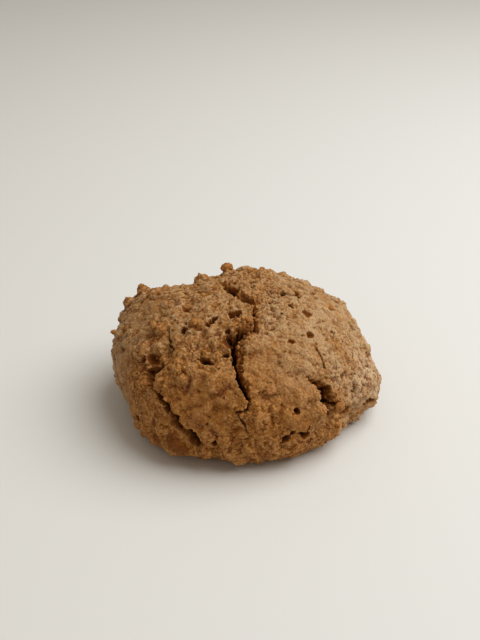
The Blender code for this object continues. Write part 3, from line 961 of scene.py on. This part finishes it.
# Bare bits of nut that show: longitude, latitude, radius
NUT_BITS = [
    (9, 36, 1.0),
    (10, 22, 0.9),
    (36, 63, 0.9),
    (104, 54, 0.9),
    (152, 35, 1.2),
    (149, 37, 0.9),
    (160, 30, 0.9),
    (180, 24, 0.9),
    (242, 30, 1.4),
    (319, 16, 1.1),
    (322, 13, 0.8),
    (150, 44, 1.3),
    (7, 36, 0.9),
    (25, 27, 0.9),
    (291, 64, 0.9),
    (287, 62, 0.8),
    (212, 33, 1.4),
    (206, 31, 0.7),
    (107, 73, 0.9),
    (328, 81, 0.8),
    (333, 76, 0.9),
]

# Flecks of dark nut skin that show: longitude, latitude, length
SKIN_FLECKS = [
    (230, 54, 0.9),
    (220, 60, 0.7),
    (222, 57, 1.1),
    (214, 48, 0.8),
    (235, 53, 0.7),
    (202, 44, 0.8),
    (199, 40, 0.9),
    (196, 39, 0.7),
    (334, 59, 0.9),
    (335, 56, 0.8),
    (336, 53, 0.8),
    (19, 50, 0.9),
    (342, 42, 0.8),
    (345, 34, 0.9),
    (18, 51, 1.0),
    (265, 26, 0.8),
    (290, 31, 0.6),
    (114, 66, 0.9),
    (318, 38, 0.5),
    (342, 37, 0.7),
    (348, 28, 0.7),
    (359, 12, 1.4),
    (298, 16, 0.9),
    (233, 62, 1.5),
    (252, 12, 0.7),
    (300, 48, 0.6),
    (214, 30, 0.8),
    (340, 1, 0.9),
]


def model_bit(seed, detail, roughness, size):
    """One bit about 1 across the middle, knocked out of shape, as its corners and its faces."""
    bpy.ops.mesh.primitive_ico_sphere_add(subdivisions=detail, radius=1.0)
    bit = bpy.context.object
    bpy.ops.object.mode_set(mode="EDIT")
    bpy.ops.mesh.select_all(action="SELECT")
    bpy.ops.transform.vertex_random(offset=roughness, seed=seed)
    bpy.ops.transform.resize(value=size)
    bpy.ops.object.mode_set(mode="OBJECT")
    corners = read_vectors(bit.data, "co")
    faces = np.empty(len(bit.data.polygons) * 3, np.int32)
    bit.data.polygons.foreach_get("vertices", faces)
    mesh = bit.data
    bpy.data.objects.remove(bit)
    bpy.data.meshes.remove(mesh)
    return corners, faces.reshape(-1, 3)


class Ground:
    """The finished crust, for laying bits on."""

    def __init__(self, crust):
        mesh = crust.data
        points = read_vectors(mesh, "co") / MM
        faces = np.empty(len(mesh.polygons) * 3, np.int32)
        mesh.polygons.foreach_get("vertices", faces)
        self.tree = BVHTree.FromPolygons(points.tolist(), faces.reshape(-1, 3).tolist())
        self.heart = Vector(heart()) - Vector((*MIDDLE, 0))

    def at(self, longitude, latitude):
        """The crust's outer point and its normal at a longitude and latitude."""
        way = (Vector(on_dome(longitude, latitude)) - Vector(heart())).normalized()
        place, normal, _, _ = self.tree.ray_cast(self.heart + way * RAY_START, -way)
        return place, normal


def lay_bits(name, variants, places, leaning, draw):
    """One joined mesh of bits, each laid at a (point, normal, radius, how far it stands out)."""
    corners, faces, tints = [], [], []
    total = 0
    for place, normal, radius, stands in places:
        shape, sides = draw.choice(variants)
        turn = normal.to_track_quat("Z", "Y")
        spin = Matrix.Rotation(draw.uniform(0, 2 * math.pi), 3, "Z")
        tilt = Matrix.Rotation(draw.gauss(0, leaning), 3, "X")
        matrix = np.array(turn.to_matrix() @ spin @ tilt) * radius
        middle = np.array(place + normal * radius * stands)
        corners.append(shape @ matrix.T + middle)
        faces.append(sides + total)
        tints.append(np.full(len(shape), draw.random()))
        total += len(shape)
    mesh = bpy.data.meshes.new(name)
    points = np.concatenate(corners) * MM
    mesh.from_pydata(points.tolist(), [], np.concatenate(faces).tolist())
    add_values(mesh, "tint", np.concatenate(tints))
    bits = bpy.data.objects.new(name, mesh)
    bpy.context.scene.collection.objects.link(bits)
    return bits


def heaped_places(ground, draw):
    """Random points in the heaps of grains, as (point, normal, radius, how far it stands out)."""
    for longitude, latitude, reach, count in GRAIN_HEAPS:
        middle, _ = ground.at(longitude, latitude)
        for rank in range(round(count * bpy.context.scene.cookie_bits.grains)):
            aside = Vector([draw.gauss(0, 0.6 * reach) for _ in range(3)])
            place, normal, _, _ = ground.tree.find_nearest(middle + aside)
            if place.z > 1.0:
                yield place, normal, 0.55 - 0.33 * (rank / count) ** 0.6, draw.uniform(-0.3, 0.3)


def strewn_places(ground, count, lowest, radii, sunk, draw):
    """Random points all over the crust, as (point, normal, radius, sunk)."""
    for rank, (longitude, latitude) in enumerate(spread_evenly(count, lowest, draw, 14)):
        place, normal = ground.at(longitude, latitude)
        if place.z > 1.0:
            radius = radii[0] + (radii[1] - radii[0]) * (rank / count) ** 0.6
            yield place, normal, radius, draw.uniform(*sunk)


# ---------------------------------------------------------------- finishes


class Finish:
    """A material's nodes, with short calls for what the cookie's finishes share."""

    def __init__(self, name):
        self.material = bpy.data.materials.new(name)
        self.material.use_nodes = True
        self.tree = self.material.node_tree
        self.shader = self.tree.nodes["Principled BSDF"]
        self.place = self.tree.nodes.new("ShaderNodeTexCoord").outputs["Object"]

    def node(self, kind, inputs=(), **settings):
        """A node with its inputs set or linked, by name or number."""
        made = self.tree.nodes.new(kind)
        for key, value in settings.items():
            setattr(made, key, value)
        for key, value in dict(inputs).items():
            if isinstance(value, bpy.types.NodeSocket):
                self.tree.links.new(value, made.inputs[key])
            else:
                made.inputs[key].default_value = value
        return made

    def mottle(self, size, detail=2.0, roughness=0.5, seed=0.0):
        """Noise from 0 to 1 with patches of this size in millimetres."""
        shift = self.node("ShaderNodeVectorMath", {0: self.place, 1: (seed, seed, seed)}, operation="ADD")
        inputs = {"Vector": shift.outputs[0], "Scale": 1 / (size * MM), "Detail": detail, "Roughness": roughness}
        return self.node("ShaderNodeTexNoise", inputs).outputs["Fac"]

    def between(self, value, low, high, to_low=0.0, to_high=1.0):
        """The value stretched so that low to high becomes the new range, with soft ends."""
        inputs = {"Value": value, "From Min": low, "From Max": high, "To Min": to_low, "To Max": to_high}
        made = self.node("ShaderNodeMapRange", inputs, interpolation_type="SMOOTHSTEP")
        return made.outputs["Result"]

    def sum(self, operation, first, second):
        return self.node("ShaderNodeMath", {0: first, 1: second}, operation=operation).outputs[0]

    def times(self, first, second):
        return self.sum("MULTIPLY", first, second)

    def towards(self, way):
        """How far in metres a point lies from the piece's origin along a unit vector."""
        return self.node("ShaderNodeVectorMath", {0: self.place, 1: way}, operation="DOT_PRODUCT").outputs["Value"]

    def blend(self, share, under, over, how="MIX"):
        """The over colour laid on the under colour by a share."""
        inputs = {0: share, 6: under, 7: over}
        made = self.node("ShaderNodeMix", inputs, data_type="RGBA", blend_type=how)
        return made.outputs[2]

    def attribute(self, name, what="Fac"):
        return self.node("ShaderNodeAttribute", attribute_name=name).outputs[what]

    def cells(self, size, seed):
        """Distance from the middle of the nearest of many uneven grains of this size."""
        wobble = self.node("ShaderNodeTexNoise", {"Vector": self.place, "Scale": 1.3 / (size * MM), "Detail": 2.0})
        moved = self.node("ShaderNodeVectorMath", {0: wobble.outputs["Color"], 1: (0.6 * size * MM,) * 3}, operation="MULTIPLY")
        shift = self.node("ShaderNodeVectorMath", {0: self.place, 1: moved.outputs[0]}, operation="ADD")
        inputs = {"Vector": shift.outputs[0], "Scale": 1 / (size * MM), "Randomness": 1.0}
        return self.node("ShaderNodeTexVoronoi", inputs).outputs["Distance"]

    def flecks(self, size, share, seed):
        """1 on small specks, which are scattered in some of the cells of this size."""
        shift = self.node("ShaderNodeVectorMath", {0: self.place, 1: (seed, seed, seed)}, operation="ADD")
        inputs = {"Vector": shift.outputs[0], "Scale": 1 / (size * MM), "Randomness": 1.0}
        cells = self.node("ShaderNodeTexVoronoi", inputs)
        chance = self.node("ShaderNodeSeparateColor", {0: cells.outputs["Color"]}).outputs[0]
        wobble = self.between(self.mottle(size * 0.3, 2.0), 0.3, 0.7, -0.12, 0.12)
        distance = self.sum("ADD", cells.outputs["Distance"], wobble)
        chosen = self.between(chance, share, share - 0.02)
        return self.sum("MULTIPLY", self.between(distance, 0.3, 0.16), chosen)

    def surface(self, colour, roughness, **constants):
        """Links the colour and roughness, and sets the rest on the shader itself."""
        self.tree.links.new(colour, self.shader.inputs["Base Color"])
        self.tree.links.new(roughness, self.shader.inputs["Roughness"])
        for key, value in constants.items():
            self.shader.inputs[key.replace("_", " ")].default_value = value

    def bump(self, layers):
        """Stacks bumps, each given by a height, its strength and its depth in millimetres."""
        normal = None
        for height, strength, depth in layers:
            inputs = {"Height": height, "Strength": strength, "Distance": depth * MM}
            if normal is not None:
                inputs["Normal"] = normal
            normal = self.node("ShaderNodeBump", inputs).outputs["Normal"]
        self.tree.links.new(normal, self.shader.inputs["Normal"])


SHADED_BROWNED_SIDE = (-0.15, -0.93, -0.34)  # the low front, away from the key: darker, partly real browning by the tray and partly painted shade
LIT_DUSTY_SIDE = (0.93, -0.15, 0.33)  # the top and right, which face the key, made paler: painted light, with some real paleness
BOUNCE_LIT_SIDE = (0.93, -0.30, -0.20)  # the lobe at the right, made lightest as painted bounce light from the floor
FILL_LIT_SIDE = (-0.96, -0.10, -0.25)  # the left, away from the key, made paler as painted fill light


def crust_finish(look):
    """Dry baked crust: pale tan, toast-coloured where it stands up, with painted highlight on the raised relief,
    painted light on the lit and dim sides, and brown painted shade in the hollows, cracks and pits.
    """
    finish = Finish("baked_crust")
    raised, hollow_shade = finish.attribute("raised"), finish.attribute("hollow_shade")
    crumb, depth = finish.attribute("crumb"), finish.attribute("depth")
    broad = finish.between(finish.mottle(11, 3), 0.35, 0.65)
    colour = finish.blend(finish.times(broad, 0.4), look.tan, look.pale)
    # painted light: the top and right, which face the key, are made paler
    lit_dusty = finish.between(finish.towards(LIT_DUSTY_SIDE), 0.010, 0.034)
    colour = finish.blend(finish.times(lit_dusty, 0.9), colour, look.pale)
    # painted bounce light: the lobe at the right is made lightest
    bounce_lit = finish.between(finish.towards(BOUNCE_LIT_SIDE), 0.023, 0.035)
    colour = finish.blend(finish.times(bounce_lit, 0.95), colour, look.bounce_pale)
    # painted fill light: the left side, away from the key, is made paler
    fill_lit_left = finish.between(finish.towards(FILL_LIT_SIDE), 0.014, 0.036)
    colour = finish.blend(finish.times(fill_lit_left, 0.95), colour, look.pale)
    colour = finish.blend(finish.times(finish.attribute("calm"), 0.15), colour, look.pale)
    # partly painted shade: the low front, away from the key, is made darker and more golden
    browned = finish.between(finish.towards(SHADED_BROWNED_SIDE), -0.001, 0.026)
    colour = finish.blend(finish.times(browned, 0.75), colour, look.golden)
    # the colour of the painted highlight on raised tops, and of pale specks and glints
    light = finish.blend(browned, look.pale, look.straw)
    calm = finish.attribute("calm")
    uneven = finish.between(finish.towards(LIT_DUSTY_SIDE), 0.036, 0.0, 0.35, 1.0)
    uneven = finish.times(uneven, finish.between(calm, 0.0, 1.0, 1.0, 0.35))
    uneven = finish.times(uneven, finish.between(fill_lit_left, 0.0, 1.0, 1.0, 0.6))
    uneven = finish.times(uneven, finish.between(bounce_lit, 0.0, 1.0, 1.0, 0.6))
    golden = finish.between(finish.mottle(2.4, 4, 0.62, 3.0), 0.50, 0.62)
    colour = finish.blend(finish.times(finish.times(golden, 0.8), uneven), colour, look.toast)
    brown = finish.between(finish.mottle(1.7, 4, 0.66, 13.0), 0.56, 0.70)
    colour = finish.blend(finish.times(finish.times(brown, 0.6), uneven), colour, look.crevice)
    # painted highlight on the raised relief
    colour = finish.blend(finish.times(raised, 0.65), colour, light)
    colour = finish.blend(finish.times(finish.attribute("lip"), 0.4), colour, look.toast)
    # painted shade in the dips of the relief
    colour = finish.blend(finish.times(hollow_shade, 0.95), colour, look.crevice)
    colour = finish.blend(finish.times(finish.attribute("ochre"), 0.9), colour, look.stain)
    colour = finish.blend(finish.times(finish.attribute("bare_nut"), 0.65), colour, look.nut)
    grainy = finish.between(finish.mottle(0.8, 3, 0.6, 7.0), 0.38, 0.62)
    inner = finish.blend(finish.times(grainy, 0.4), look.crumb, look.crevice)
    inner = finish.blend(finish.between(finish.mottle(0.9, 2, 0.5, 43.0), 0.50, 0.60, 0.0, 0.7), inner, look.straw)
    colour = finish.blend(finish.times(crumb, 0.85), colour, inner)
    colour = finish.blend(finish.times(finish.flecks(2.6, 0.05, 1.7), 0.7), colour, look.fleck)
    grains = finish.cells(0.85, 21.0)
    seams = finish.times(finish.between(grains, 0.25, 0.6), finish.between(finish.mottle(5, 2, 0.5, 31.0), 0.4, 0.6))
    colour = finish.blend(finish.times(seams, 0.5), colour, look.toast)
    fine = finish.mottle(0.42, 4, 0.7, 5.0)
    shaded = finish.blend(0.8, look.toast, look.crevice)
    colour = finish.blend(finish.between(fine, 0.48, 0.64, 0.0, 0.6), colour, shaded)
    gritty = finish.between(calm, 0.0, 1.0, 1.0, 0.45)
    speckle = finish.between(finish.mottle(0.9, 3, 0.6, 11.0), 0.53, 0.63, 0.0, 0.7)
    colour = finish.blend(finish.times(speckle, gritty), colour, light)
    pores = finish.between(finish.mottle(0.8, 2, 0.5, 17.0), 0.60, 0.66, 0.0, 0.8)
    colour = finish.blend(finish.times(pores, gritty), colour, shaded)
    glints = finish.between(finish.mottle(0.7, 2, 0.5, 19.0), 0.60, 0.66, 0.0, 0.85)
    colour = finish.blend(finish.times(glints, gritty), colour, light)
    colour = finish.blend(finish.times(finish.attribute("straw"), 0.8), colour, look.straw)
    # painted shade: the crumb in the cracks is darkened as it goes deeper
    crack_depth_shade = finish.times(crumb, finish.between(depth, 0.02, 0.20, 0.0, 0.75))
    colour = finish.blend(crack_depth_shade, colour, look.stain)
    colour = finish.blend(finish.times(finish.attribute("ochre"), 0.8), colour, look.stain)
    colour = finish.blend(finish.times(finish.attribute("ochre"), 0.4), colour, look.crevice)
    # painted shade: the crumb deep in the cracks is darkened towards near black
    sunk = finish.times(crumb, finish.between(depth, 0.20, 0.65))
    pitted = finish.between(finish.mottle(0.9, 3, 0.6, 37.0), 0.42, 0.56, 0.3, 0.95)
    colour = finish.blend(finish.times(sunk, pitted), colour, look.deep)
    # painted shade in the beds of cracks, sharp hairlines and deep pits
    colour = finish.blend(finish.times(finish.attribute("gap"), 0.95), colour, look.deep)
    finish.surface(
        colour,
        finish.between(finish.mottle(1.5, 3, 0.6, 9.0), 0.3, 0.7, 0.5, 0.8),
        Specular_IOR_Level=0.22,
        Subsurface_Weight=0.18,
        Subsurface_Radius=(1.0, 0.4, 0.12),
        Subsurface_Scale=0.0015,
    )
    rounded = finish.sum("SUBTRACT", 1.0, grains)
    finish.bump([(finish.mottle(1.1, 4, 0.6, 2.0), 0.8, 0.55), (rounded, 0.8, 0.26), (fine, 1.0, 0.19)])
    return finish.material


def bit_finish(name, under, over, roughness):
    """A bit's finish between two colours, each bit a little different."""
    finish = Finish(name)
    tint = finish.attribute("tint")
    patchy = finish.between(finish.mottle(0.9, 3, 0.6, 4.0), 0.35, 0.65)
    share = finish.sum("ADD", finish.times(tint, 0.6), finish.times(patchy, 0.4))
    rough = finish.between(finish.mottle(1.2), 0.3, 0.7, roughness - 0.1, roughness + 0.1)
    finish.surface(finish.blend(share, under, over), rough, Specular_IOR_Level=0.35)
    finish.bump([(finish.mottle(0.5, 4, 0.65, 2.0), 0.7, 0.15)])
    return finish.material


# ---------------------------------------------------------------- settings a user would change


def colour_property(name, description, value):
    return FloatVectorProperty(
        name=name, description=description, default=(*value, 1.0), size=4, subtype="COLOR", min=0, max=1
    )


class CookieForm(bpy.types.PropertyGroup):
    """Sizes of the dough and how many of each mark the oven left."""

    half_width: FloatProperty(
        name="Half width", description="Half the dome's width before its swells", default=0.037, unit="LENGTH"
    )
    half_depth: FloatProperty(
        name="Half depth", description="Half the dome's depth before its swells", default=0.0346, unit="LENGTH"
    )
    height: FloatProperty(name="Height", description="Top of the smooth dome", default=0.0366, unit="LENGTH")
    girth_height: FloatProperty(
        name="Girth height", description="Height of the widest level", default=0.0095, unit="LENGTH"
    )
    fullness: FloatProperty(
        name="Fullness", description="2 is an ellipse, and more is squarer at the shoulder", default=2.25
    )
    lean: FloatProperty(name="Lean", description="Sideways shift for each unit above the girth", default=-0.12)
    nubs: IntProperty(name="Nubs", description="Scattered nubs of chopped nut", default=300, min=0)
    cobbles: IntProperty(name="Cobbles", description="Soft low swellings of the crust", default=2300, min=0)
    pimples: IntProperty(name="Pimples", description="Small raised grains", default=5200, min=0)
    pinholes: IntProperty(name="Pinholes", description="Small holes left by bubbles", default=330, min=0)
    crumbs: IntProperty(name="Crumbs", description="Crumbs that stand up where the crust tore", default=7000, min=0)


class CookieBits(bpy.types.PropertyGroup):
    """How many loose bits lie on the crust."""

    grains: FloatProperty(name="Crumb grains", description="How full the heaps of grains are", default=1.0, min=0)
    nuts: IntProperty(name="Nut bits", description="Strewn bits of bare nut", default=90, min=0)
    flecks: IntProperty(name="Skin flecks", description="Strewn flecks of dark nut skin", default=12, min=0)


class CookieLook(bpy.types.PropertyGroup):
    """Colours of the baked dough and what is in it."""

    tan: colour_property("Tan", "The crust's usual brown", (0.42, 0.228, 0.082))
    # pale is also laid as painted light on the lit top and right and on the dim left
    pale: colour_property("Pale", "The dusty tops", (0.56, 0.39, 0.22))
    # painted bounce light from the floor, on the lobe at the right
    bounce_pale: colour_property("Dust", "The palest side of the crust", (0.74, 0.56, 0.39))
    # straw is also the painted highlight on raised tops of the low front
    straw: colour_property("Straw", "The dusty tops on the browned side", (0.59, 0.33, 0.13))
    # golden also carries painted shade on the low front
    golden: colour_property("Golden", "The side that browned the most", (0.41, 0.168, 0.034))
    toast: colour_property("Toast", "Where the crust browned most", (0.37, 0.155, 0.020))
    stain: colour_property("Stain", "Blotches and pits that browned more", (0.27, 0.095, 0.010))
    # crevice is the dark brown of the mottles and crumb, and also the painted shade in the relief's dips
    crevice: colour_property("Crevice", "The crust's hollows", (0.15, 0.036, 0.004))
    crumb: colour_property("Crumb", "The golden inside where the crust tore", (0.56, 0.28, 0.085))
    # deep is the painted shade at the bottoms of cracks, pits and hairlines, and the darkest tone of the skin flecks
    deep: colour_property("Deep", "The bottom of a crack", (0.040, 0.010, 0.002))
    nut: colour_property("Nut", "Chopped nut with no crust on it", (0.38, 0.155, 0.028))
    fleck: colour_property("Fleck", "Slivers of nut skin", (0.10, 0.032, 0.022))


class StageSetup(bpy.types.PropertyGroup):
    """The plain stage, its lights and its camera."""

    paper: colour_property("Floor", "The floor's colour", (0.74, 0.745, 0.735))
    key_power: FloatProperty(name="Key", description="Power of the large light", default=3.5, unit="POWER")
    sky: FloatProperty(name="Sky", description="Strength of the light from all round", default=0.35, min=0)
    lens: FloatProperty(name="Lens", description="Focal length", default=50.0, unit="CAMERA")
    elevation: FloatProperty(
        name="Elevation", description="Camera's angle above the floor", default=math.radians(35), subtype="ANGLE"
    )
    distance: FloatProperty(
        name="Distance", description="From the camera to the cookie", default=0.262, unit="LENGTH"
    )


# ---------------------------------------------------------------- operators


def deselect_all():
    bpy.ops.object.select_all(action="DESELECT")


def declare(piece, finish):
    """Gives a piece its finish and says that it is part of the cookie."""
    piece.data.materials.append(finish)
    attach(piece, "root")


class COOKIE_OT_bake_crust(bpy.types.Operator):
    """Shape the cookie's crust and give it its finish"""

    bl_idname = "cookie.bake_crust"
    bl_label = "Bake Crust"

    def execute(self, context):
        deselect_all()
        crust = shape_crust()
        declare(crust, crust_finish(context.scene.cookie_look))
        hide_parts("cookie")
        return {"FINISHED"}


class COOKIE_OT_drop_crumb_grains(bpy.types.Operator):
    """Drop loose grains of crumb into the cracks"""

    bl_idname = "cookie.drop_crumb_grains"
    bl_label = "Drop Crumb Grains"

    def execute(self, context):
        deselect_all()
        draw = random.Random(BIT_SEED)
        look = context.scene.cookie_look
        variants = [model_bit(seed, 2, 0.35, (1, 0.85, 0.8)) for seed in range(BIT_VARIANTS)]
        ground = Ground(bpy.data.objects["crust"])
        places = list(heaped_places(ground, draw))
        grains = lay_bits("crumb_grains", variants, places, 0.6, draw)
        declare(grains, bit_finish("crumb_grain", look.crevice, look.crumb, 0.85))
        return {"FINISHED"}


class COOKIE_OT_press_nut_bits(bpy.types.Operator):
    """Press bare bits of chopped nut into the crust"""

    bl_idname = "cookie.press_nut_bits"
    bl_label = "Press Nut Bits"

    def execute(self, context):
        deselect_all()
        draw = random.Random(BIT_SEED + 1)
        look = context.scene.cookie_look
        variants = [model_bit(seed + 10, 3, 0.3, (1, 0.8, 0.7)) for seed in range(BIT_VARIANTS)]
        ground = Ground(bpy.data.objects["crust"])
        places = [(*ground.at(lon, lat), radius, stands) for lon, lat, radius, stands in PROUD_NUTS]
        places += [(*ground.at(lon, lat), radius, -0.3) for lon, lat, radius in NUT_BITS]
        places += strewn_places(ground, context.scene.cookie_bits.nuts, 4, (0.8, 0.4), (-0.6, -0.2), draw)
        bits = lay_bits("nut_bits", variants, places, 0.4, draw)
        bpy.context.view_layer.objects.active = bits
        bits.select_set(True)
        bpy.ops.object.shade_smooth()
        declare(bits, bit_finish("bare_nut", look.nut, look.tan, 0.6))
        return {"FINISHED"}


class COOKIE_OT_lay_skin_flecks(bpy.types.Operator):
    """Lay dark flecks of nut skin on the crust"""

    bl_idname = "cookie.lay_skin_flecks"
    bl_label = "Lay Skin Flecks"

    def execute(self, context):
        deselect_all()
        draw = random.Random(BIT_SEED + 2)
        look = context.scene.cookie_look
        variants = [model_bit(seed + 20, 2, 0.3, (1, 0.45, 0.22)) for seed in range(BIT_VARIANTS)]
        ground = Ground(bpy.data.objects["crust"])
        places = [(*ground.at(lon, lat), 0.65 * length, -0.1) for lon, lat, length in SKIN_FLECKS]
        places += strewn_places(ground, context.scene.cookie_bits.flecks, 6, (0.45, 0.25), (-0.2, 0.0), draw)
        flecks = lay_bits("skin_flecks", variants, places, 0.1, draw)
        declare(flecks, bit_finish("nut_skin", look.fleck, look.deep, 0.55))
        return {"FINISHED"}


CAMERA_AIM = (-MIDDLE[0], -MIDDLE[1], 14.0)  # the point of the cookie that the distance is measured to
AIM_IN_VIEW = (2.0, -43.0)  # where it lands from the picture's middle, right and up, in pixels
PICTURE_HEIGHT = 640.0
SENSOR_HEIGHT = 36.0
FLOOR_SIZE = 6.0
KEY_PLACE = (0.34, 0.03, 0.56)
KEY_SIZE = 0.7
KEY_COLOUR = (0.99, 1.0, 0.99)
SKY_COLOUR = (1.0, 0.90, 0.78, 1.0)
VIEW_LOOK = "Medium High Contrast"


def add_camera(stage):
    """The camera at the height and angle that the cookie was seen from."""
    camera = bpy.data.objects.new("camera", bpy.data.cameras.new("camera"))
    bpy.context.scene.collection.objects.link(camera)
    camera.data.lens = stage.lens
    camera.data.sensor_fit = "VERTICAL"
    camera.data.sensor_height = SENSOR_HEIGHT
    camera.data.clip_start = 0.01
    pixels = PICTURE_HEIGHT * stage.lens / SENSOR_HEIGHT
    pitch = stage.elevation + math.atan(AIM_IN_VIEW[1] / pixels)
    yaw = math.atan(AIM_IN_VIEW[0] / pixels)
    back = Vector((0, -math.cos(stage.elevation), math.sin(stage.elevation)))
    camera.location = Vector(CAMERA_AIM) * MM + back * stage.distance
    camera.rotation_euler = (math.pi / 2 - pitch, 0, yaw)
    bpy.context.scene.camera = camera


def add_soft_light(name, place, size, power, colour):
    """A large area light at a place in metres, turned to the cookie."""
    light = bpy.data.objects.new(name, bpy.data.lights.new(name, "AREA"))
    bpy.context.scene.collection.objects.link(light)
    light.data.shape = "DISK"
    light.data.size = size
    light.data.energy = power
    light.data.color = colour
    light.location = place
    light.rotation_euler = (Vector((0, 0, 0.015)) - Vector(place)).to_track_quat("-Z", "Y").to_euler()


class COOKIE_OT_set_stage(bpy.types.Operator):
    """Lay the pale floor, hang the soft light and aim the camera"""

    bl_idname = "cookie.set_stage"
    bl_label = "Set Stage"

    def execute(self, context):
        deselect_all()
        stage = context.scene.cookie_stage
        bpy.ops.mesh.primitive_plane_add(size=FLOOR_SIZE)
        floor = context.object
        floor.name = floor.data.name = "floor"
        finish = Finish("floor_paper")
        finish.shader.inputs["Base Color"].default_value = stage.paper
        finish.shader.inputs["Roughness"].default_value = 0.85
        finish.shader.inputs["Specular IOR Level"].default_value = 0.2
        floor.data.materials.append(finish.material)
        add_soft_light("key", KEY_PLACE, KEY_SIZE, stage.key_power, KEY_COLOUR)
        world = bpy.data.worlds.new("studio")
        context.scene.world = world
        world.use_nodes = True
        background = world.node_tree.nodes["Background"]
        background.inputs["Color"].default_value = SKY_COLOUR
        background.inputs["Strength"].default_value = stage.sky
        context.scene.view_settings.view_transform = "Standard"
        context.scene.view_settings.look = VIEW_LOOK
        add_camera(stage)
        return {"FINISHED"}


class COOKIE_PT_maker(bpy.types.Panel):
    """Lists the cookie's settings and the steps that make it"""

    bl_label = "Chocolate Cookie"
    bl_idname = "COOKIE_PT_maker"
    bl_space_type = "VIEW_3D"
    bl_region_type = "UI"
    bl_category = "Cookie"

    def draw(self, context):
        for title, group in settings(context.scene):
            box = self.layout.box()
            box.label(text=title)
            for name in group.bl_rna.properties.keys():
                if name not in ("rna_type", "name"):
                    box.prop(group, name)
        for step in STEPS:
            self.layout.operator(step.bl_idname)


def settings(scene):
    """The groups of settings, each with its title."""
    return (
        ("Form", scene.cookie_form),
        ("Bits", scene.cookie_bits),
        ("Look", scene.cookie_look),
        ("Stage", scene.cookie_stage),
    )


STEPS = (
    COOKIE_OT_bake_crust,
    COOKIE_OT_drop_crumb_grains,
    COOKIE_OT_press_nut_bits,
    COOKIE_OT_lay_skin_flecks,
    COOKIE_OT_set_stage,
)
CLASSES = (CookieForm, CookieBits, CookieLook, StageSetup, *STEPS, COOKIE_PT_maker)


def register():
    for cls in CLASSES:
        bpy.utils.register_class(cls)
    bpy.types.Scene.cookie_form = PointerProperty(type=CookieForm)
    bpy.types.Scene.cookie_bits = PointerProperty(type=CookieBits)
    bpy.types.Scene.cookie_look = PointerProperty(type=CookieLook)
    bpy.types.Scene.cookie_stage = PointerProperty(type=StageSetup)


def unregister():
    del bpy.types.Scene.cookie_form
    del bpy.types.Scene.cookie_bits
    del bpy.types.Scene.cookie_look
    del bpy.types.Scene.cookie_stage
    for cls in reversed(CLASSES):
        bpy.utils.unregister_class(cls)


def main():
    register()
    bpy.ops.cookie.bake_crust()
    bpy.ops.cookie.drop_crumb_grains()
    bpy.ops.cookie.press_nut_bits()
    bpy.ops.cookie.lay_skin_flecks()
    bpy.ops.cookie.set_stage()


if __name__ == "__main__":
    main()
